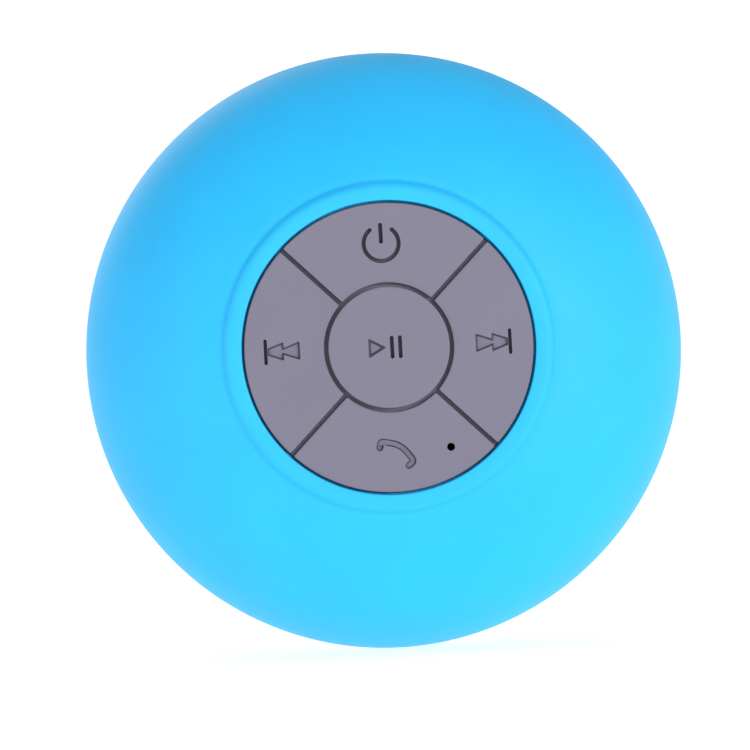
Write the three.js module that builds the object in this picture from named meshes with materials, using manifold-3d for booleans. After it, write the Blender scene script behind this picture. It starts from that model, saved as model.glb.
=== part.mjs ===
// Waterproof shower speaker: a silicone-skinned dome with a five-key pad on its face, a small
// full-range driver that fires backwards through a slotted neck, and a suction cup that screws
// into the back.
//
// Frame, in millimetres: the origin is on the wall, at the centre of the suction cup's rim.
// +Y points into the wall, -Y out of the wall towards the user, +Z up, +X to the user's right.
// Every profile below is written as [radius, depth], where depth is the distance out from the
// wall, so that y = -depth.
import * as THREE from "three";
import { mergeVertices } from "three/addons/utils/BufferGeometryUtils.js";
import Module from "manifold-3d";

const wasm = await Module();
wasm.setup();

// ---------------------------------------------------------------- driving dimensions
const BODY_RADIUS = 43; // the speaker is 86 mm across
const FACE_DEPTH = 54.8; // wall to the front of the centre key
const WIDEST_DEPTH = 26; // the plane of the largest radius
const DOME_HEIGHT = 30.7; // height the dome would reach on its axis
const DOME_POWER = 2.4; // 2 is an ellipse; more is flatter on top and rounder at the rim
const BACK_RADIUS = 12; // the rounded back corner: its radial and its axial half-axis
const BACK_DEPTH = 10.5;
const JACKET = 1.8; // silicone skin
const FIT = 0.3; // clearance between parts that touch
const SHELL = 2; // wall of the hard housings
const BODY_FACETS = 36; // a multiple of the four screws and equal to the slots

const RING_RADIUS = 22.9; // raised flat ring of the skin round the keys
const RING_FACE = 54.5;
const KEYPAD_RADIUS = 20.15;
const CENTRE_KEY_RADIUS = 8.5;
const KEY_GAP = 0.55; // groove between neighbouring keys
const KEY_FACE = 54.3;
const KEY_BACK = 52.4;
const KEY_TRAVEL = 0.35;
const SWITCH_RADIUS = 13.5; // circle on which the four outer switches sit
const NUB_BACK = 51.1;

const WEB_BACK = 51.3;
const WEB_FRONT = 52.0;
const PLATE_BACK = 49.4; // front plate of the front housing
const PLATE_FRONT = 51.0;
const BOARD_BACK = 45.4;
const BOARD_FRONT = 46.6;
const BOARD_RADIUS = 23;

const RIM_BACK = 25.4; // rim of the rear housing
const RIM_FRONT = 26.2; // rim of the front housing
const NECK_RADIUS = 30.6;
const NECK_INSIDE = 28.8;
const NECK_BACK = 9.2;
const NECK_FLOOR = 11;
const SHELF_BACK = 17.6; // shelf that the driver is bonded to
const SHELF_FRONT = 19.4;
const SHELF_OPENING = 23;
const SLOTS = BODY_FACETS;
const SLOT_WIDTH = 2.3;

const SCREW_CIRCLE = 34; // housing screws
const SCREW_ANGLES = [45, 135, 225, 315];
const BOARD_SCREW_CIRCLE = 20.5;
const BOARD_SCREW_ANGLES = [45, 135, 270];

const PORT_DEPTH = 22.3; // USB socket, at the bottom of the body
const PORT_MOUTH = 38.2;

const CUP_RADIUS = 28.7;
const CUP_HUB_FRONT = 8;
const STUD_RADIUS = 2.35;

// ---------------------------------------------------------------- colours and finishes
const finish = (color, roughness, metalness = 0) =>
  new THREE.MeshStandardMaterial({ color, roughness, metalness });
const BLUE_SILICONE = finish(0x2fb4f0, 0.55);
const GREY_SILICONE = finish(0x8b8699, 0.7);
const GREY_PLASTIC = finish(0x84808f, 0.5);
const DARK_PLASTIC = finish(0x2a2a2e, 0.5);
const BLUE_CUP = finish(0x3aa9dd, 0.25);
const BLACK_RUBBER = finish(0x1c1c1e, 0.8);
const MESH_CLOTH = finish(0x16161a, 0.95);
const STEEL = finish(0xb9bcc0, 0.35, 1);
const BRASS = finish(0xc9a24b, 0.35, 1);
const FERRITE = finish(0x3a3a3c, 0.75);
const BOARD_GREEN = finish(0x1d5a36, 0.45);
const CHIP_BLACK = finish(0x1a1a1c, 0.5);
const CONE_PAPER = finish(0x2b2b2d, 0.85);
const CLOTH_TAN = finish(0xb08a4a, 0.9);
const COPPER = finish(0xb5672f, 0.35, 1);
const FOIL_SILVER = finish(0xc4c6ca, 0.4, 0.7);
const FOAM_WHITE = finish(0xe4e2dc, 0.95);
const LED_LENS = finish(0xd8e6f4, 0.2);
const RED_WIRE = finish(0xb8261e, 0.5);
const BLACK_WIRE = finish(0x202022, 0.5);

// ---------------------------------------------------------------- shape helpers
const degrees = (angle) => (angle * Math.PI) / 180;

// Point on the face at a radius and an angle, 0 to the right and 90 up.
const onFace = (radius, angle) => [
  radius * Math.cos(degrees(angle)),
  radius * Math.sin(degrees(angle)),
];

// A solid of revolution about Y from a closed [radius, depth] profile.
function revolve(profile, facets = BODY_FACETS) {
  const points = profile.map(([radius, depth]) => new THREE.Vector2(radius, -depth));
  if (points[0].x > 0 || points.at(-1).x > 0) points.push(points[0].clone());
  if (THREE.ShapeUtils.area(points) < 0) points.reverse();
  return new THREE.LatheGeometry(points, facets);
}

// A plate drawn as seen from the front, from one depth to another.
function slab(shape, back, front, curveSegments = 12) {
  const geometry = new THREE.ExtrudeGeometry(shape, {
    depth: front - back,
    bevelEnabled: false,
    curveSegments,
  });
  return geometry.translate(0, 0, back).rotateX(Math.PI / 2);
}

// A box given by its centre and size along X, depth and Z.
function block(width, deep, high, x, depth, z) {
  return new THREE.BoxGeometry(width, deep, high).translate(x, -depth, z);
}

// A cylinder along the speaker's axis, at a point of the face.
function rod(radius, back, front, x = 0, z = 0, facets = 16) {
  const geometry = new THREE.CylinderGeometry(radius, radius, front - back, facets);
  return geometry.translate(x, -(back + front) / 2, z);
}

// A wire or cable: a section swept along a smooth line through [x, depth, z] points.
function sweep(section, route, steps) {
  const line = new THREE.CatmullRomCurve3(
    route.map(([x, depth, z]) => new THREE.Vector3(x, -depth, z)),
  );
  return new THREE.ExtrudeGeometry(section, {
    steps,
    extrudePath: line,
    bevelEnabled: false,
    curveSegments: 4,
  });
}

function toSolid(geometry) {
  const bare = geometry.clone();
  bare.deleteAttribute("normal");
  bare.deleteAttribute("uv");
  const merged = mergeVertices(bare, 1e-3);
  return new wasm.Manifold(
    new wasm.Mesh({
      numProp: 3,
      vertProperties: merged.attributes.position.array,
      triVerts: new Uint32Array(merged.index.array),
    }),
  );
}

function toGeometry(solid) {
  const mesh = solid.getMesh();
  const geometry = new THREE.BufferGeometry();
  geometry.setAttribute("position", new THREE.BufferAttribute(mesh.vertProperties, 3));
  geometry.setIndex(new THREE.BufferAttribute(mesh.triVerts, 1));
  geometry.computeVertexNormals();
  return geometry;
}

const cut = (body, ...tools) =>
  toGeometry(tools.reduce((left, tool) => left.subtract(toSolid(tool)), toSolid(body)));
const join = (body, ...others) =>
  toGeometry(others.reduce((sum, other) => sum.add(toSolid(other)), toSolid(body)));
const overlap = (body, other) => toGeometry(toSolid(body).intersect(toSolid(other)));

const group = new THREE.Group();
const housing = new THREE.Group();
const keypad = new THREE.Group();
const electronics = new THREE.Group();
const driver = new THREE.Group();
const fixing = new THREE.Group();
group.add(housing, keypad, electronics, driver, fixing);

function add(parent, name, geometry, material, x = 0, depth = 0, z = 0) {
  const mesh = new THREE.Mesh(geometry, material);
  mesh.name = name;
  mesh.position.set(x, -depth, z);
  parent.add(mesh);
  return mesh;
}

// ---------------------------------------------------------------- dome and back curves
// Points of the dome, inset from the outside, from a start radius out to the widest plane.
function domeCurve(inset, startRadius, steps) {
  const radius = BODY_RADIUS - inset;
  const height = DOME_HEIGHT - inset;
  const start = Math.asin((startRadius / radius) ** (DOME_POWER / 2));
  return Array.from({ length: steps + 1 }, (_, i) => {
    const turn = start + ((Math.PI / 2 - start) * i) / steps;
    return [
      radius * Math.sin(turn) ** (2 / DOME_POWER),
      WIDEST_DEPTH + height * Math.max(0, Math.cos(turn)) ** (2 / DOME_POWER),
    ];
  });
}

// Points of the rounded back corner, inset from the outside, from one angle to another,
// where 0 is the widest plane and 90 the flat of the back.
function backCurve(inset, from, to, steps) {
  const centre = BODY_RADIUS - BACK_RADIUS;
  return Array.from({ length: steps + 1 }, (_, i) => {
    const turn = degrees(from + ((to - from) * i) / steps);
    return [
      centre + (BACK_RADIUS - inset) * Math.cos(turn),
      WIDEST_DEPTH - (BACK_DEPTH - inset) * Math.sin(turn),
    ];
  });
}

// ---------------------------------------------------------------- housing
// USB port: one rectangle through the skin, which the cover fills, and one through the wall.
const coverBlock = (margin) =>
  block(11 + 2 * margin, 5.6 + 2 * margin, 14, 0, PORT_DEPTH - 0.3, -43);

const jacketProfile = [
  [KEYPAD_RADIUS + 0.4, 52.3],
  [KEYPAD_RADIUS + 0.4, RING_FACE - 0.25],
  [KEYPAD_RADIUS + 0.7, RING_FACE],
  [RING_RADIUS - 0.2, RING_FACE - 0.05],
  [RING_RADIUS + 0.4, 53.45],
  ...domeCurve(0, RING_RADIUS + 0.9, 7),
  ...backCurve(0, 16, 84, 4),
  [NECK_RADIUS + 0.4, 15.9],
  [NECK_RADIUS + 0.4, WIDEST_DEPTH - BACK_DEPTH + JACKET],
  ...backCurve(JACKET, 80, 20, 3),
  ...domeCurve(JACKET, 24, 5).reverse(),
  [RING_RADIUS + 0.1, 51.4],
  [RING_RADIUS, 52.3],
];
add(housing, "silicone_jacket", cut(revolve(jacketProfile), coverBlock(0.25)), BLUE_SILICONE);

// Hard front half: dome, flat plate behind the keys, screw columns and board posts.
const FRONT_INSET = JACKET + FIT;
const frontOutside = domeCurve(FRONT_INSET, 24, 5);
frontOutside[frontOutside.length - 1][1] = RIM_FRONT;
const frontInside = domeCurve(FRONT_INSET + SHELL, 22.3, 4);
frontInside[frontInside.length - 1][1] = RIM_FRONT;
const frontProfile = [
  [0, PLATE_FRONT],
  [23.7, PLATE_FRONT],
  ...frontOutside,
  ...frontInside.reverse(),
  [22.2, PLATE_BACK],
  [0, PLATE_BACK],
];
const domeFilled = revolve([[0, 0], [0, PLATE_FRONT], [23.7, PLATE_FRONT], ...frontOutside, [frontOutside.at(-1)[0], 0]]);
const columns = SCREW_ANGLES.map((angle) => onFace(SCREW_CIRCLE, angle));
const posts = BOARD_SCREW_ANGLES.map((angle) => onFace(BOARD_SCREW_CIRCLE, angle));
const switchPlaces = {
  play_pause: [0, 0],
  next: onFace(SWITCH_RADIUS, 0),
  power: onFace(SWITCH_RADIUS, 90),
  previous: onFace(SWITCH_RADIUS, 180),
  call: onFace(SWITCH_RADIUS, 270),
};
const micPlace = onFace(16.3, -61);
const ledPlace = [6.6, -9.6];
const frontColumns = columns.map(([x, z]) => overlap(rod(2.8, 22.7, 50, x, z), domeFilled));
const frontPosts = posts.map(([x, z]) => rod(2, BOARD_FRONT + FIT, PLATE_BACK + 0.5, x, z, 12));
const frontHoles = [
  ...columns.map(([x, z]) => rod(1.4, 20, 32, x, z, 12)),
  ...posts.map(([x, z]) => rod(1.15, 45, 50.4, x, z, 10)),
  ...Object.values(switchPlaces).map(([x, z]) => rod(2.3, 49, 52, x, z, 12)),
  rod(1.75, 49, 52, ...micPlace, 12),
  rod(1.2, 49, 52, ...ledPlace, 10),
];
add(
  housing,
  "front_housing",
  cut(join(revolve(frontProfile), ...frontColumns, ...frontPosts), ...frontHoles),
  DARK_PLASTIC,
);

// Hard rear half: rounded back, driver shelf, slotted neck, back plate and centre boss.
const rearOutside = backCurve(FRONT_INSET, 4.1, 88, 4);
const rearProfile = [
  [SHELF_OPENING, SHELF_FRONT],
  [31, SHELF_FRONT],
  [35.2, 20.2],
  [37.7, 22.2],
  [38.9, RIM_BACK],
  ...rearOutside,
  [NECK_RADIUS, SHELF_BACK],
  [NECK_RADIUS, NECK_BACK + 0.5],
  [NECK_RADIUS - 0.5, NECK_BACK],
  [4.3, NECK_BACK],
  [4.3, 16.2],
  [6.8, 16.2],
  [6.8, NECK_FLOOR],
  [NECK_INSIDE, NECK_FLOOR],
  [NECK_INSIDE, SHELF_BACK],
  [SHELF_OPENING, SHELF_BACK],
];
const slotTools = Array.from({ length: SLOTS }, (_, i) =>
  block(SLOT_WIDTH, 5, 5, 0, 14.2, NECK_RADIUS).rotateY((2 * Math.PI * (i + 0.5)) / SLOTS),
);
const boardPegs = [-6.5, 6.5].map((x) => rod(1.2, SHELF_FRONT - 0.5, 23.3, x, -30, 10));
const rearFilled = revolve([[0, RIM_BACK], ...rearOutside, [0, SHELF_BACK]]);
const rearPosts = columns.map(([x, z]) => overlap(rod(3, 18, 22.4, x, z), rearFilled));
const rearHoles = [
  ...slotTools,
  ...columns.map(([x, z]) => rod(2.4, 16, 20.2, x, z, 14)),
  ...columns.map(([x, z]) => rod(1.4, 20, 24, x, z, 12)),
  block(8.6, 3.4, 9, 0, PORT_DEPTH, -40),
];
add(
  housing,
  "rear_housing",
  cut(join(revolve(rearProfile), ...rearPosts, ...boardPegs), ...rearHoles),
  GREY_PLASTIC,
);

const SEAL_MARGIN = 0.1; // the flat seal is gripped between the two rims
const sealProfile = [
  [39, RIM_BACK + SEAL_MARGIN],
  [40.7, RIM_BACK + SEAL_MARGIN],
  [40.7, RIM_FRONT - SEAL_MARGIN],
  [39, RIM_FRONT - SEAL_MARGIN],
];
add(housing, "housing_seal", revolve(sealProfile), BLACK_RUBBER);

const meshProfile = [
  [NECK_INSIDE - 0.7, NECK_FLOOR + FIT],
  [NECK_INSIDE - 0.3, NECK_FLOOR + FIT],
  [NECK_INSIDE - 0.3, SHELF_BACK - FIT],
  [NECK_INSIDE - 0.7, SHELF_BACK - FIT],
];
add(housing, "acoustic_mesh", revolve(meshProfile), MESH_CLOTH);

const insertProfile = [
  [STUD_RADIUS + 0.35, 9.4],
  [4, 9.4],
  [4, 15.8],
  [STUD_RADIUS + 0.35, 15.8],
];
add(housing, "boss_insert", revolve(insertProfile, 20), BRASS);

// Pan-head self-tapping screw that points forwards, its seat at depth 0.
function screw(headRadius, headHeight, shaftRadius, length) {
  return revolve(
    [
      [0, -headHeight],
      [headRadius * 0.7, -headHeight],
      [headRadius, -headHeight * 0.5],
      [headRadius, 0],
      [shaftRadius, 0],
      [shaftRadius, length - shaftRadius],
      [0, length],
    ],
    12,
  );
}
columns.forEach(([x, z], i) =>
  add(housing, `housing_screw_${i + 1}`, screw(2, 1.5, 1.05, 11), STEEL, x, 20.1, z),
);

// Silicone cover of the USB port: a piece of the skin's own curve with a stopper behind it.
const coverSkin = revolve([
  ...backCurve(0, 0, 84, 8),
  ...backCurve(JACKET - 0.2, 84, 0, 8),
]);
const coverStopper = block(7.2, 2.4, 3.2, 0, PORT_DEPTH, -PORT_MOUTH - 0.5 - 1.6);
const coverRidge = block(5, 0.9, 2, 0, PORT_DEPTH + 0.4, -41.8);
const coverRelief = block(12, 1.4, 1.2, 0, 19.6, -37.6); // lets its hinged edge turn past the wall
add(
  housing,
  "usb_cover",
  join(cut(overlap(coverSkin, coverBlock(0)), coverRelief), coverStopper, coverRidge),
  BLUE_SILICONE,
);

// ---------------------------------------------------------------- keypad
const webDisc = rod(RING_RADIUS - 0.3, WEB_BACK, WEB_FRONT, 0, 0, BODY_FACETS);
const webHoles = [
  ...Object.values(switchPlaces).map(([x, z]) => rod(2.1, 51, 53, x, z, 12)),
  rod(1.75, 51, 53, ...micPlace, 12),
];
add(keypad, "keypad_web", cut(webDisc, ...webHoles), GREY_SILICONE);

// A quarter key: a sector of the ring round the centre key, with parallel grooves beside it.
function quarterOutline(middle) {
  const inner = CENTRE_KEY_RADIUS + KEY_GAP;
  const lean = (radius) => Math.asin(KEY_GAP / 2 / radius);
  const from = degrees(middle - 45);
  const to = degrees(middle + 45);
  const outline = new THREE.Shape();
  outline.absarc(0, 0, KEYPAD_RADIUS, from + lean(KEYPAD_RADIUS), to - lean(KEYPAD_RADIUS), false);
  outline.absarc(0, 0, inner, to - lean(inner), from + lean(inner), true);
  return outline;
}
const quarters = { next: 0, power: 90, previous: 180, call: 270 };
const NUB_RADIUS = 1.5;
for (const [name, middle] of Object.entries(quarters)) {
  const nub = rod(NUB_RADIUS, NUB_BACK, KEY_BACK + 0.4, ...switchPlaces[name], 12);
  const cap = join(slab(quarterOutline(middle), KEY_BACK, KEY_FACE, 10), nub);
  const soundHole = rod(0.55, 50, 56, ...micPlace, 10);
  add(keypad, `key_${name}`, name === "call" ? cut(cap, soundHole) : cap, GREY_SILICONE);
}
const centreCap = revolve(
  [
    [0, NUB_BACK],
    [NUB_RADIUS, NUB_BACK],
    [NUB_RADIUS, KEY_BACK],
    [CENTRE_KEY_RADIUS, KEY_BACK],
    [CENTRE_KEY_RADIUS, KEY_FACE],
    [CENTRE_KEY_RADIUS - 0.3, FACE_DEPTH],
    [0, FACE_DEPTH],
  ],
  28,
);
add(keypad, "key_play_pause", centreCap, GREY_SILICONE);

// ---------------------------------------------------------------- electronics
const boardDisc = rod(BOARD_RADIUS, BOARD_BACK, BOARD_FRONT, 0, 0, BODY_FACETS);
const boardHoles = posts.map(([x, z]) => rod(1.15, 45, 47, x, z, 10));
add(electronics, "main_board", cut(boardDisc, ...boardHoles), BOARD_GREEN);
posts.forEach(([x, z], i) =>
  add(electronics, `board_screw_${i + 1}`, screw(1.7, 1.2, 0.8, 4.8), STEEL, x, BOARD_BACK - 0.1, z),
);

// Tact switches: a square can with a round well, and the plunger that stands in it.
const SWITCH_BACK = BOARD_FRONT + 0.1;
const SWITCH_HEIGHT = 2.4;
const switchCan = cut(block(6, SWITCH_HEIGHT, 6, 0, SWITCH_HEIGHT / 2, 0), rod(1.95, 0.3, 4, 0, 0, 12));
const PLUNGER_BACK = SWITCH_BACK + 0.3 + KEY_TRAVEL + 0.1;
const plunger = rod(1.6, 0, NUB_BACK - PLUNGER_BACK, 0, 0, 12);
for (const [name, [x, z]] of Object.entries(switchPlaces)) {
  add(electronics, `switch_${name}`, switchCan.clone(), STEEL, x, SWITCH_BACK, z);
  add(electronics, `plunger_${name}`, plunger.clone(), CHIP_BLACK, x, PLUNGER_BACK, z);
}

add(electronics, "microphone", rod(2, 0, 1.5, 0, 0, 16), STEEL, micPlace[0], SWITCH_BACK, micPlace[1]);
const bootProfile = [
  [0.7, 48.3],
  [2.2, 48.3],
  [2.2, 49.1],
  [1.4, 49.1],
  [1.4, 51.9],
  [0.7, 51.9],
];
add(electronics, "mic_boot", revolve(bootProfile, 12), BLACK_RUBBER, micPlace[0], 0, micPlace[1]);
add(electronics, "status_led", block(1.6, 0.8, 0.8, 0, 0.4, 0), LED_LENS, ledPlace[0], SWITCH_BACK, ledPlace[1]);
add(electronics, "bluetooth_chip", block(6, 0.9, 6, 0, 44.85, 16.5), CHIP_BLACK);
add(electronics, "amplifier_chip", block(4, 1.4, 5, -8.5, 44.6, 16), CHIP_BLACK);
add(electronics, "supply_capacitor", rod(2, 40.6, 45.3, 8.5, 16, 16), FOIL_SILVER);

const BATTERY_BACK = 40.2;
const BATTERY_FRONT = 44.5;
add(electronics, "battery", block(36, BATTERY_FRONT - BATTERY_BACK, 24, 0, (BATTERY_BACK + BATTERY_FRONT) / 2, 0), FOIL_SILVER);
add(electronics, "battery_pad", block(30, 0.7, 18, 0, 44.95, 0), FOAM_WHITE);

const wireSection = new THREE.Shape().absarc(0, 0, 0.5, 0, 2 * Math.PI, false);
const batteryRoute = (z) => [
  [18.1, 42.2, z],
  [19.6, 42, z * 1.1],
  [20.9, 43, z * 1.3],
  [21, 45, z * 1.4],
];
add(electronics, "battery_lead_plus", sweep(wireSection, batteryRoute(3), 10), RED_WIRE);
add(electronics, "battery_lead_minus", sweep(wireSection, batteryRoute(-3), 10), BLACK_WIRE);
const speakerRoute = (z) => [
  [-24.9, 22.3, z],
  [-25.3, 27, z],
  [-26.6, 34, z],
  [-23.8, 41, z],
  [-21, 43.4, z],
  [-20.8, 45, z],
];
add(electronics, "speaker_lead_plus", sweep(wireSection, speakerRoute(3), 16), RED_WIRE);
add(electronics, "speaker_lead_minus", sweep(wireSection, speakerRoute(-3), 16), BLACK_WIRE);

// Charging board behind the USB port, its socket's shell, and the tongue in the socket.
const CHARGE_BACK = PORT_DEPTH + 1.4;
add(electronics, "charge_board", block(16, 1, 9, 0, CHARGE_BACK + 0.5, -32.2), BOARD_GREEN);
const shellLength = 5.6;
const shellMiddle = -(PORT_MOUTH - shellLength / 2);
const usbShell = cut(
  block(7.5, 2.6, shellLength, 0, PORT_DEPTH, shellMiddle),
  block(6.8, 1.9, shellLength, 0, PORT_DEPTH, shellMiddle - 0.5),
);
add(electronics, "usb_shell", usbShell, STEEL);
add(electronics, "usb_tongue", block(5, 0.6, 3.6, 0, PORT_DEPTH + 0.3, -35.3), CHIP_BLACK);
const ribbonSection = new THREE.Shape();
ribbonSection.moveTo(-2, -0.4).lineTo(2, -0.4).lineTo(2, 0.4).lineTo(-2, 0.4).closePath();
const ribbonRoute = [
  [7, 24.95, -30],
  [7, 30, -31],
  [7, 37, -28],
  [7, 41.5, -21.5],
  [7, 44.4, -19.5],
];
add(electronics, "charge_lead", sweep(ribbonSection, ribbonRoute, 14), BLACK_WIRE);

// ---------------------------------------------------------------- driver
// It faces backwards: its flange is bonded to the shelf and its cone opens into the neck.
const FLANGE_BACK = 20.8;
const FLANGE_RADIUS = 26.2;
const basketProfile = [
  [22.6, FLANGE_BACK],
  [FLANGE_RADIUS, FLANGE_BACK],
  [FLANGE_RADIUS, FLANGE_BACK + 1.2],
  [23.5, FLANGE_BACK + 1.2],
  [16.2, 29.6],
  [9.2, 29.6],
  [9.2, 28.8],
  [15.7, 28.8],
  [22.6, FLANGE_BACK + 1],
];
const basketWindows = [0, 90, 180, 270].map((angle) => {
  const [x, z] = onFace(20, angle);
  return block(10, 4.6, 10, 0, 25.6, 0).translate(x * 1.05, 0, z * 1.05);
});
add(driver, "driver_basket", cut(revolve(basketProfile, 36), ...basketWindows), STEEL);

const ring = (inner, outer, back, front) => [
  [inner, back],
  [outer, back],
  [outer, front],
  [inner, front],
];
add(driver, "driver_gasket", revolve(ring(23.4, 26.2, 19.5, 20.1), 36), BLACK_RUBBER);
add(driver, "driver_top_plate", revolve(ring(8.5, 14.5, 29.7, 31.9), 32), STEEL);
add(driver, "driver_magnet", revolve(ring(9.5, 15.5, 32, 36.6), 32), FERRITE);
const yokeProfile = [
  [0, 30],
  [6.6, 30],
  [6.6, 36.7],
  [15, 36.7],
  [15, 38.4],
  [14.2, 39.2],
  [0, 39.2],
];
add(driver, "driver_yoke", revolve(yokeProfile, 32), STEEL);
add(driver, "voice_coil", revolve(ring(7.2, 7.8, 27.5, 33.4), 24), COPPER);
const coneProfile = [
  [7.9, 27.3],
  [12, 24.2],
  [18.5, 20.9],
  [18.5, 21.4],
  [12.2, 24.7],
  [8.1, 27.8],
];
add(driver, "cone", revolve(coneProfile, 28), CONE_PAPER);
const capProfile = [
  [0, 24.4],
  [3, 24.7],
  [5.5, 25.6],
  [7.6, 27.2],
  [7.2, 27.4],
  [5.2, 26],
  [2.8, 25.2],
  [0, 24.9],
];
add(driver, "dust_cap", revolve(capProfile, 24), CONE_PAPER);

// Half-roll surround, its roll bulging backwards into the shelf's opening.
const roll = (radius, depth, from, to) =>
  [0, 1, 2, 3, 4].map((i) => {
    const turn = degrees(from + ((to - from) * i) / 4);
    return [20.5 + radius * Math.cos(turn), depth - radius * Math.sin(turn)];
  });
const surroundProfile = [
  [24.6, 20.2],
  [24.6, 20.7],
  ...roll(1.6, 20.7, 0, 180),
  [17.4, 20.7],
  [17.4, 20.2],
  ...roll(2.1, 20.2, 180, 0),
];
add(driver, "surround", revolve(surroundProfile, 28), BLACK_RUBBER);

// Corrugated spider that centres the voice coil.
const ripples = [8.1, 9.4, 10.7, 12, 13.3, 14.6, 15.3];
const spiderLine = (lift) => ripples.map((radius, i) => [radius, 28.05 + lift + (i % 2) * 0.35]);
add(driver, "spider", revolve([...spiderLine(0), ...spiderLine(0.3).reverse()], 24), CLOTH_TAN);

// ---------------------------------------------------------------- suction cup and its stud
const cupProfile = [
  [0, 5.1],
  [9, 4.9],
  [15, 4.2],
  [20, 2.9],
  [24, 1.2],
  [26.3, 0],
  [CUP_RADIUS - 0.2, 0],
  [CUP_RADIUS, 0.4],
  [28, 1],
  [24, 2.8],
  [20, 4.4],
  [15, 6],
  [12.2, 7],
  [11.2, CUP_HUB_FRONT],
  [9.3, CUP_HUB_FRONT],
  [9.3, 6.2],
  [0, 6.2],
];
add(fixing, "suction_cup", revolve(cupProfile), BLUE_CUP);
const studProfile = [
  [0, 6.4],
  [9, 6.4],
  [9, CUP_HUB_FRONT],
  [STUD_RADIUS, CUP_HUB_FRONT],
  [STUD_RADIUS, 14.8],
  [STUD_RADIUS - 0.6, 15.3],
  [0, 15.3],
];
add(fixing, "cup_stud", revolve(studProfile, 24), DARK_PLASTIC);
add(fixing, "cup_washer", revolve(ring(2.8, 6.6, CUP_HUB_FRONT + 0.1, NECK_BACK - 0.1), 24), BLACK_RUBBER);

export default group;
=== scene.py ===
import math

import bmesh
import bpy
from mathutils import Matrix, Vector
from mathutils.geometry import tessellate_polygon


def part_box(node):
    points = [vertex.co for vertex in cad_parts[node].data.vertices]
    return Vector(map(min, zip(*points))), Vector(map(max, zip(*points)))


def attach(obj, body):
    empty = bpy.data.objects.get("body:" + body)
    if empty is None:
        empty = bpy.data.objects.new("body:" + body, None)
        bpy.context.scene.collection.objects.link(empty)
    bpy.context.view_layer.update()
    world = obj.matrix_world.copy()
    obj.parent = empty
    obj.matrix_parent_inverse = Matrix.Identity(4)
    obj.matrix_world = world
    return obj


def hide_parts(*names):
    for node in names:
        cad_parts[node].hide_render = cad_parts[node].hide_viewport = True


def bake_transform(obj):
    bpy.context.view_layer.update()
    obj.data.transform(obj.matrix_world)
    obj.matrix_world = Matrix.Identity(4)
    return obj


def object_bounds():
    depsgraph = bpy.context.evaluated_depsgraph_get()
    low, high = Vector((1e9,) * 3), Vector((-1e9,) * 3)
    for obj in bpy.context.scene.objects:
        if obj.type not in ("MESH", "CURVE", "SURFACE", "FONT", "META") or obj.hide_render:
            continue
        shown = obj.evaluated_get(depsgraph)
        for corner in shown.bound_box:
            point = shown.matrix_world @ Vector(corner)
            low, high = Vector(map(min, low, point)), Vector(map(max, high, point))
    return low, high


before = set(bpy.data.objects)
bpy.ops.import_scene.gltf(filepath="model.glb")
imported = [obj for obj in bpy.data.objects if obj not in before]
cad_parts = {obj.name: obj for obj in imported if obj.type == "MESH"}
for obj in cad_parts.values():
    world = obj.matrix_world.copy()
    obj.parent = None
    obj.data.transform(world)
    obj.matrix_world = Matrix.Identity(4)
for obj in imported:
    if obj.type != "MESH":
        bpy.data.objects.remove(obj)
cad_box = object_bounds()

# ---------------------------------------------------------------- camera
# A long lens held almost straight in front of the keypad, a little left of the axis and a
# little below it, and rolled so that the keypad reads as turned a few degrees anticlockwise.
MM = 0.001
aim = Vector((0, -26 * MM, 0))
camera_distance = 0.7
from_left, from_below, roll = math.radians(1.6), math.radians(0.8), math.radians(-3)
out_of_wall = Vector(
    (
        -math.sin(from_left) * math.cos(from_below),
        -math.cos(from_left) * math.cos(from_below),
        -math.sin(from_below),
    )
)
camera_data = bpy.data.cameras.new("camera")
camera = bpy.data.objects.new("camera", camera_data)
bpy.context.scene.collection.objects.link(camera)
bpy.context.scene.camera = camera
camera_data.sensor_width = 36
camera_data.lens = 231.8
camera_data.shift_x = -0.0113
camera_data.shift_y = -0.0327
camera_data.clip_start, camera_data.clip_end = 0.01, 20
looking = (-out_of_wall).to_track_quat("-Z", "Y").to_matrix()
camera.matrix_world = (
    Matrix.Translation(aim + out_of_wall * camera_distance)
    @ (looking @ Matrix.Rotation(roll, 3, "Z")).to_4x4()
)

# ---------------------------------------------------------------- studio
# A seamless pale bowl: a floor just under the speaker whose rim sweeps up far away, a pale
# sky, and large soft lamps, the strongest in front of the keypad and a little to the right.
floor_height = cad_box[0].z - 0.3 * MM
bowl_radius, bowl_curve = 2.6, 0.9


def link(obj):
    bpy.context.scene.collection.objects.link(obj)
    return obj


def white_bowl():
    line = [(0.0, 0.0), (0.4, 0.0), (bowl_radius - bowl_curve, 0.0)]
    for i in range(1, 13):
        turn = math.radians(90 * i / 12)
        line.append(
            (
                bowl_radius - bowl_curve + bowl_curve * math.sin(turn),
                bowl_curve * (1 - math.cos(turn)),
            )
        )
    shape = bmesh.new()
    sides = 96
    rows = []
    for radius, height in line:
        count = sides if radius else 1
        rows.append(
            [
                shape.verts.new(
                    (
                        radius * math.cos(2 * math.pi * i / sides),
                        radius * math.sin(2 * math.pi * i / sides),
                        floor_height + height,
                    )
                )
                for i in range(count)
            ]
        )
    for inner, outer in zip(rows, rows[1:]):
        for i in range(sides):
            j = (i + 1) % sides
            if len(inner) == 1:
                shape.faces.new((inner[0], outer[i], outer[j]))
            else:
                shape.faces.new((inner[i], outer[i], outer[j], inner[j]))
    data = bpy.data.meshes.new("studio_bowl")
    shape.to_mesh(data)
    shape.free()
    for face in data.polygons:
        face.use_smooth = True
    return link(bpy.data.objects.new("studio_bowl", data))


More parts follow.
